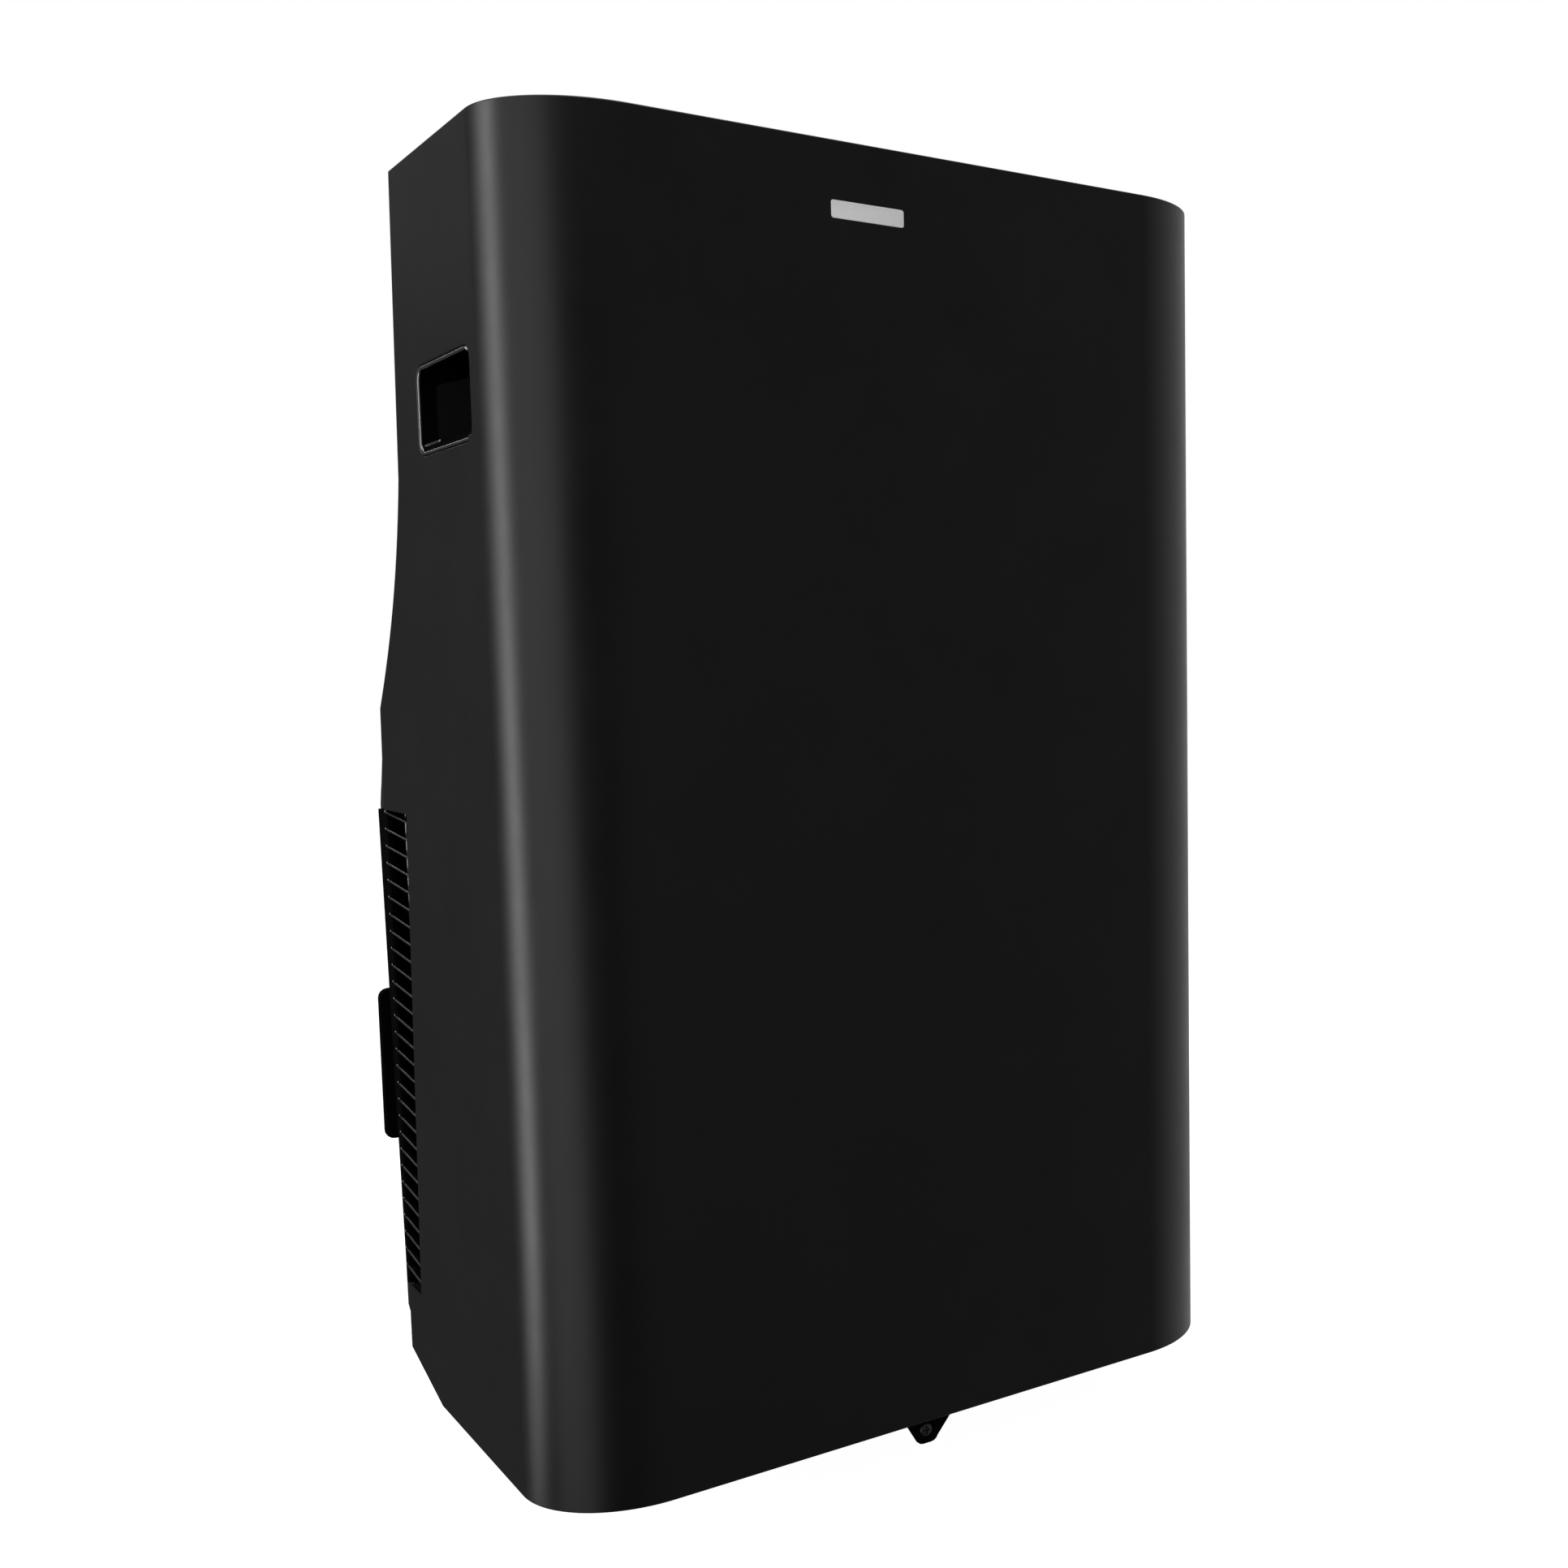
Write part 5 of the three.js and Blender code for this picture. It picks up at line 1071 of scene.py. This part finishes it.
def push_keys():
    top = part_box("button_1")[1].z / MM - shell_low.z / MM
    for index, (x, strokes) in enumerate(zip(button_places(), symbols())):
        name = str(index + 1)
        radius = BUTTON_RADIUS
        profile = [(0, 685.4), (radius + 1.2, 685.4), (radius + 1.5, 685.8), (radius + 1.5, 686.9),
                   (radius + 1.2, 687.2), (radius, 687.2), (radius, top - 0.9), (radius - 0.25, top - 0.4),
                   (radius - 0.9, top - 0.15), (radius - 1.8, top - 0.25), (radius - 3.2, top - 0.42),
                   (0, top - 0.5)]
        add("push_key_" + name, lathe("z", (x, BUTTON_Y), profile, 48), "button_" + name, "button_grey",
            ["button_" + name])
        print_solid = merged(*[prism("z", stroke, (top - 0.6, top - 0.28)) for stroke in strokes])
        add("key_sign_" + name, print_solid, "button_" + name, "gloss_black")


SIDES = {"left": lambda solid: solid, "right": mirrored}


def build():
    finish_nodes()
    wrap_panel()
    for side, flip in SIDES.items():
        grip_cup(side, flip)
        grip_bead(side, flip)
        grip_sill(side, flip)
    top_lid()
    rear_upper_shell()
    rear_lower_shell()
    upper_tilt = math.degrees(math.atan2(BACK_HIP_Y - BACK_TOP_Y, TOP_FACE_Z - HIP_TOP[1]))
    lower_tilt = math.degrees(math.atan2(BACK_EDGE[0] - BACK_FOOT[0], BACK_EDGE[1] - BACK_FOOT[1]))
    filter_frame("filter_upper", "upper_filter", upper_tilt, 187, 584, **UPPER_FILTER)
    filter_frame("filter_lower", "lower_filter", -lower_tilt, 284.6, 48, **LOWER_FILTER)
    cord_hooks()
    exhaust_port()
    drain_plug("drain_plug_upper", "upper_drain_cap", "upper_drain_cap", *UPPER_DRAIN)
    drain_plug("drain_plug_lower", "lower_drain_cap", "lower_drain_cap", *LOWER_DRAIN)
    cord_grommet()
    front_foot_tab()
    back_screws()
    casters()
    louvre_lid()
    guide_vanes()
    control_fascia()
    push_keys()


# ---- Stage, light and camera ----
CAMERA_PLACE = (-0.5013, -0.9869, 0.4632)
CAMERA_YAW = 35.43
CAMERA_PITCH = -5.43
CAMERA_ROLL = -0.78
CAMERA_LENS = 40.2
CAMERA_SHIFT = (-0.1629, 0.0235)
SENSOR = 36.0
ROOM_WHITE = (1.0, 1.0, 1.0, 1.0)
FLOOR_GLOW = 0.97
BRIGHT_SIDE = (1.0, 0.25, 0.0)
DIM = 0.06
BRIGHT = 0.63
BRIGHT_RANGE = (0.34, 0.88)
FLOOR_HALF = 6.0
SOFTBOXES = (
    # name, place, aim, width, height, watts
    ("strip_left", (-1.6, 0.34, 0.62), (-0.22, -0.12, 0.62), 0.38, 2.2, 21),
    ("strip_tail", (-1.6, 0.72, 0.5), (-0.22, -0.12, 0.5), 0.5, 2.6, 6),
    ("fill_left_front", (-1.75, -0.95, 0.35), (0, -0.1, 0.35), 1.4, 2.6, 17),
    ("key_top", (-0.3, -0.5, 2.4), (0, 0, 0.3), 2.2, 2.2, 45),
    ("floor_wash", (0.4, 0.6, 2.6), (0, 0.2, 0), 2.6, 2.6, 48),
    ("front_wash", (0.5, -2.4, 0.0), (0, 0, 0.3), 1.6, 2.4, 2),
    ("rear_fill", (0.05, 2.4, 1.6), (0, 0.2, 0.3), 0.9, 1.0, 5.5),
)


def camera():
    data = bpy.data.cameras.new("camera")
    data.lens = CAMERA_LENS
    data.sensor_width = SENSOR
    data.shift_x, data.shift_y = CAMERA_SHIFT
    data.clip_start = 0.01
    made = bpy.data.objects.new("camera", data)
    turn = Matrix.Rotation(math.radians(-CAMERA_YAW), 4, "Z")
    turn @= Matrix.Rotation(math.radians(90 + CAMERA_PITCH), 4, "X")
    turn @= Matrix.Rotation(math.radians(CAMERA_ROLL), 4, "Z")
    made.matrix_world = Matrix.Translation(CAMERA_PLACE) @ turn
    bpy.context.scene.collection.objects.link(made)
    bpy.context.scene.camera = made


def softbox(name, place_at, aim, width, height, power):
    data = bpy.data.lights.new(name, "AREA")
    data.shape = "RECTANGLE"
    data.size = width
    data.size_y = height
    data.energy = power
    made = bpy.data.objects.new(name, data)
    toward = Vector(aim) - Vector(place_at)
    made.matrix_world = Matrix.Translation(place_at) @ toward.to_track_quat("-Z", "Y").to_matrix().to_4x4()
    bpy.context.scene.collection.objects.link(made)


def world_light():
    """A pale room: brighter to the object's right, dim elsewhere, plain white where it is seen."""
    world = bpy.data.worlds.new("room")
    bpy.context.scene.world = world
    world.use_nodes = True
    tree = world.node_tree
    background = tree.nodes["Background"]
    coords = tree.nodes.new("ShaderNodeTexCoord")
    along = tree.nodes.new("ShaderNodeVectorMath")
    ramp = tree.nodes.new("ShaderNodeMapRange")
    path = tree.nodes.new("ShaderNodeLightPath")
    choose = tree.nodes.new("ShaderNodeMix")
    along.operation = "DOT_PRODUCT"
    along.inputs[1].default_value = BRIGHT_SIDE
    for key, value in zip(("From Min", "From Max", "To Min", "To Max"), (*BRIGHT_RANGE, DIM, BRIGHT)):
        ramp.inputs[key].default_value = value
    tree.links.new(coords.outputs["Generated"], along.inputs[0])
    tree.links.new(along.outputs["Value"], ramp.inputs["Value"])
    tree.links.new(path.outputs["Is Camera Ray"], choose.inputs["Factor"])
    tree.links.new(ramp.outputs["Result"], choose.inputs["A"])
    choose.inputs["B"].default_value = 1.0
    tree.links.new(choose.outputs["Result"], background.inputs["Strength"])
    background.inputs["Color"].default_value = ROOM_WHITE


def stage():
    """The pale floor. It glows, so that it stays as light as the room behind it."""
    size = FLOOR_HALF
    mesh = bpy.data.meshes.new("floor")
    corners = [(-size, -size, 0), (size, -size, 0), (size, size, 0), (-size, size, 0)]
    mesh.from_pydata(corners, [], [(0, 1, 2, 3)])
    floor = bpy.data.objects.new("floor", mesh)
    bpy.context.scene.collection.objects.link(floor)
    pale = surface("floor_pale", (0.25, 0.25, 0.25),
        0.9, grain=2, bump=0.01, mottle=0.01, specular=0.1, wear=1.0)
    shader = pale.node_tree.nodes["Principled BSDF"]
    shader.inputs["Emission Color"].default_value = ROOM_WHITE
    shader.inputs["Emission Strength"].default_value = FLOOR_GLOW
    mesh.materials.append(pale)
    floor.visible_glossy = False
    floor.visible_diffuse = False


camera()
world_light()
stage()
for settings in SOFTBOXES:
    softbox(*settings)
bpy.context.scene.view_settings.view_transform = "Standard"

build()
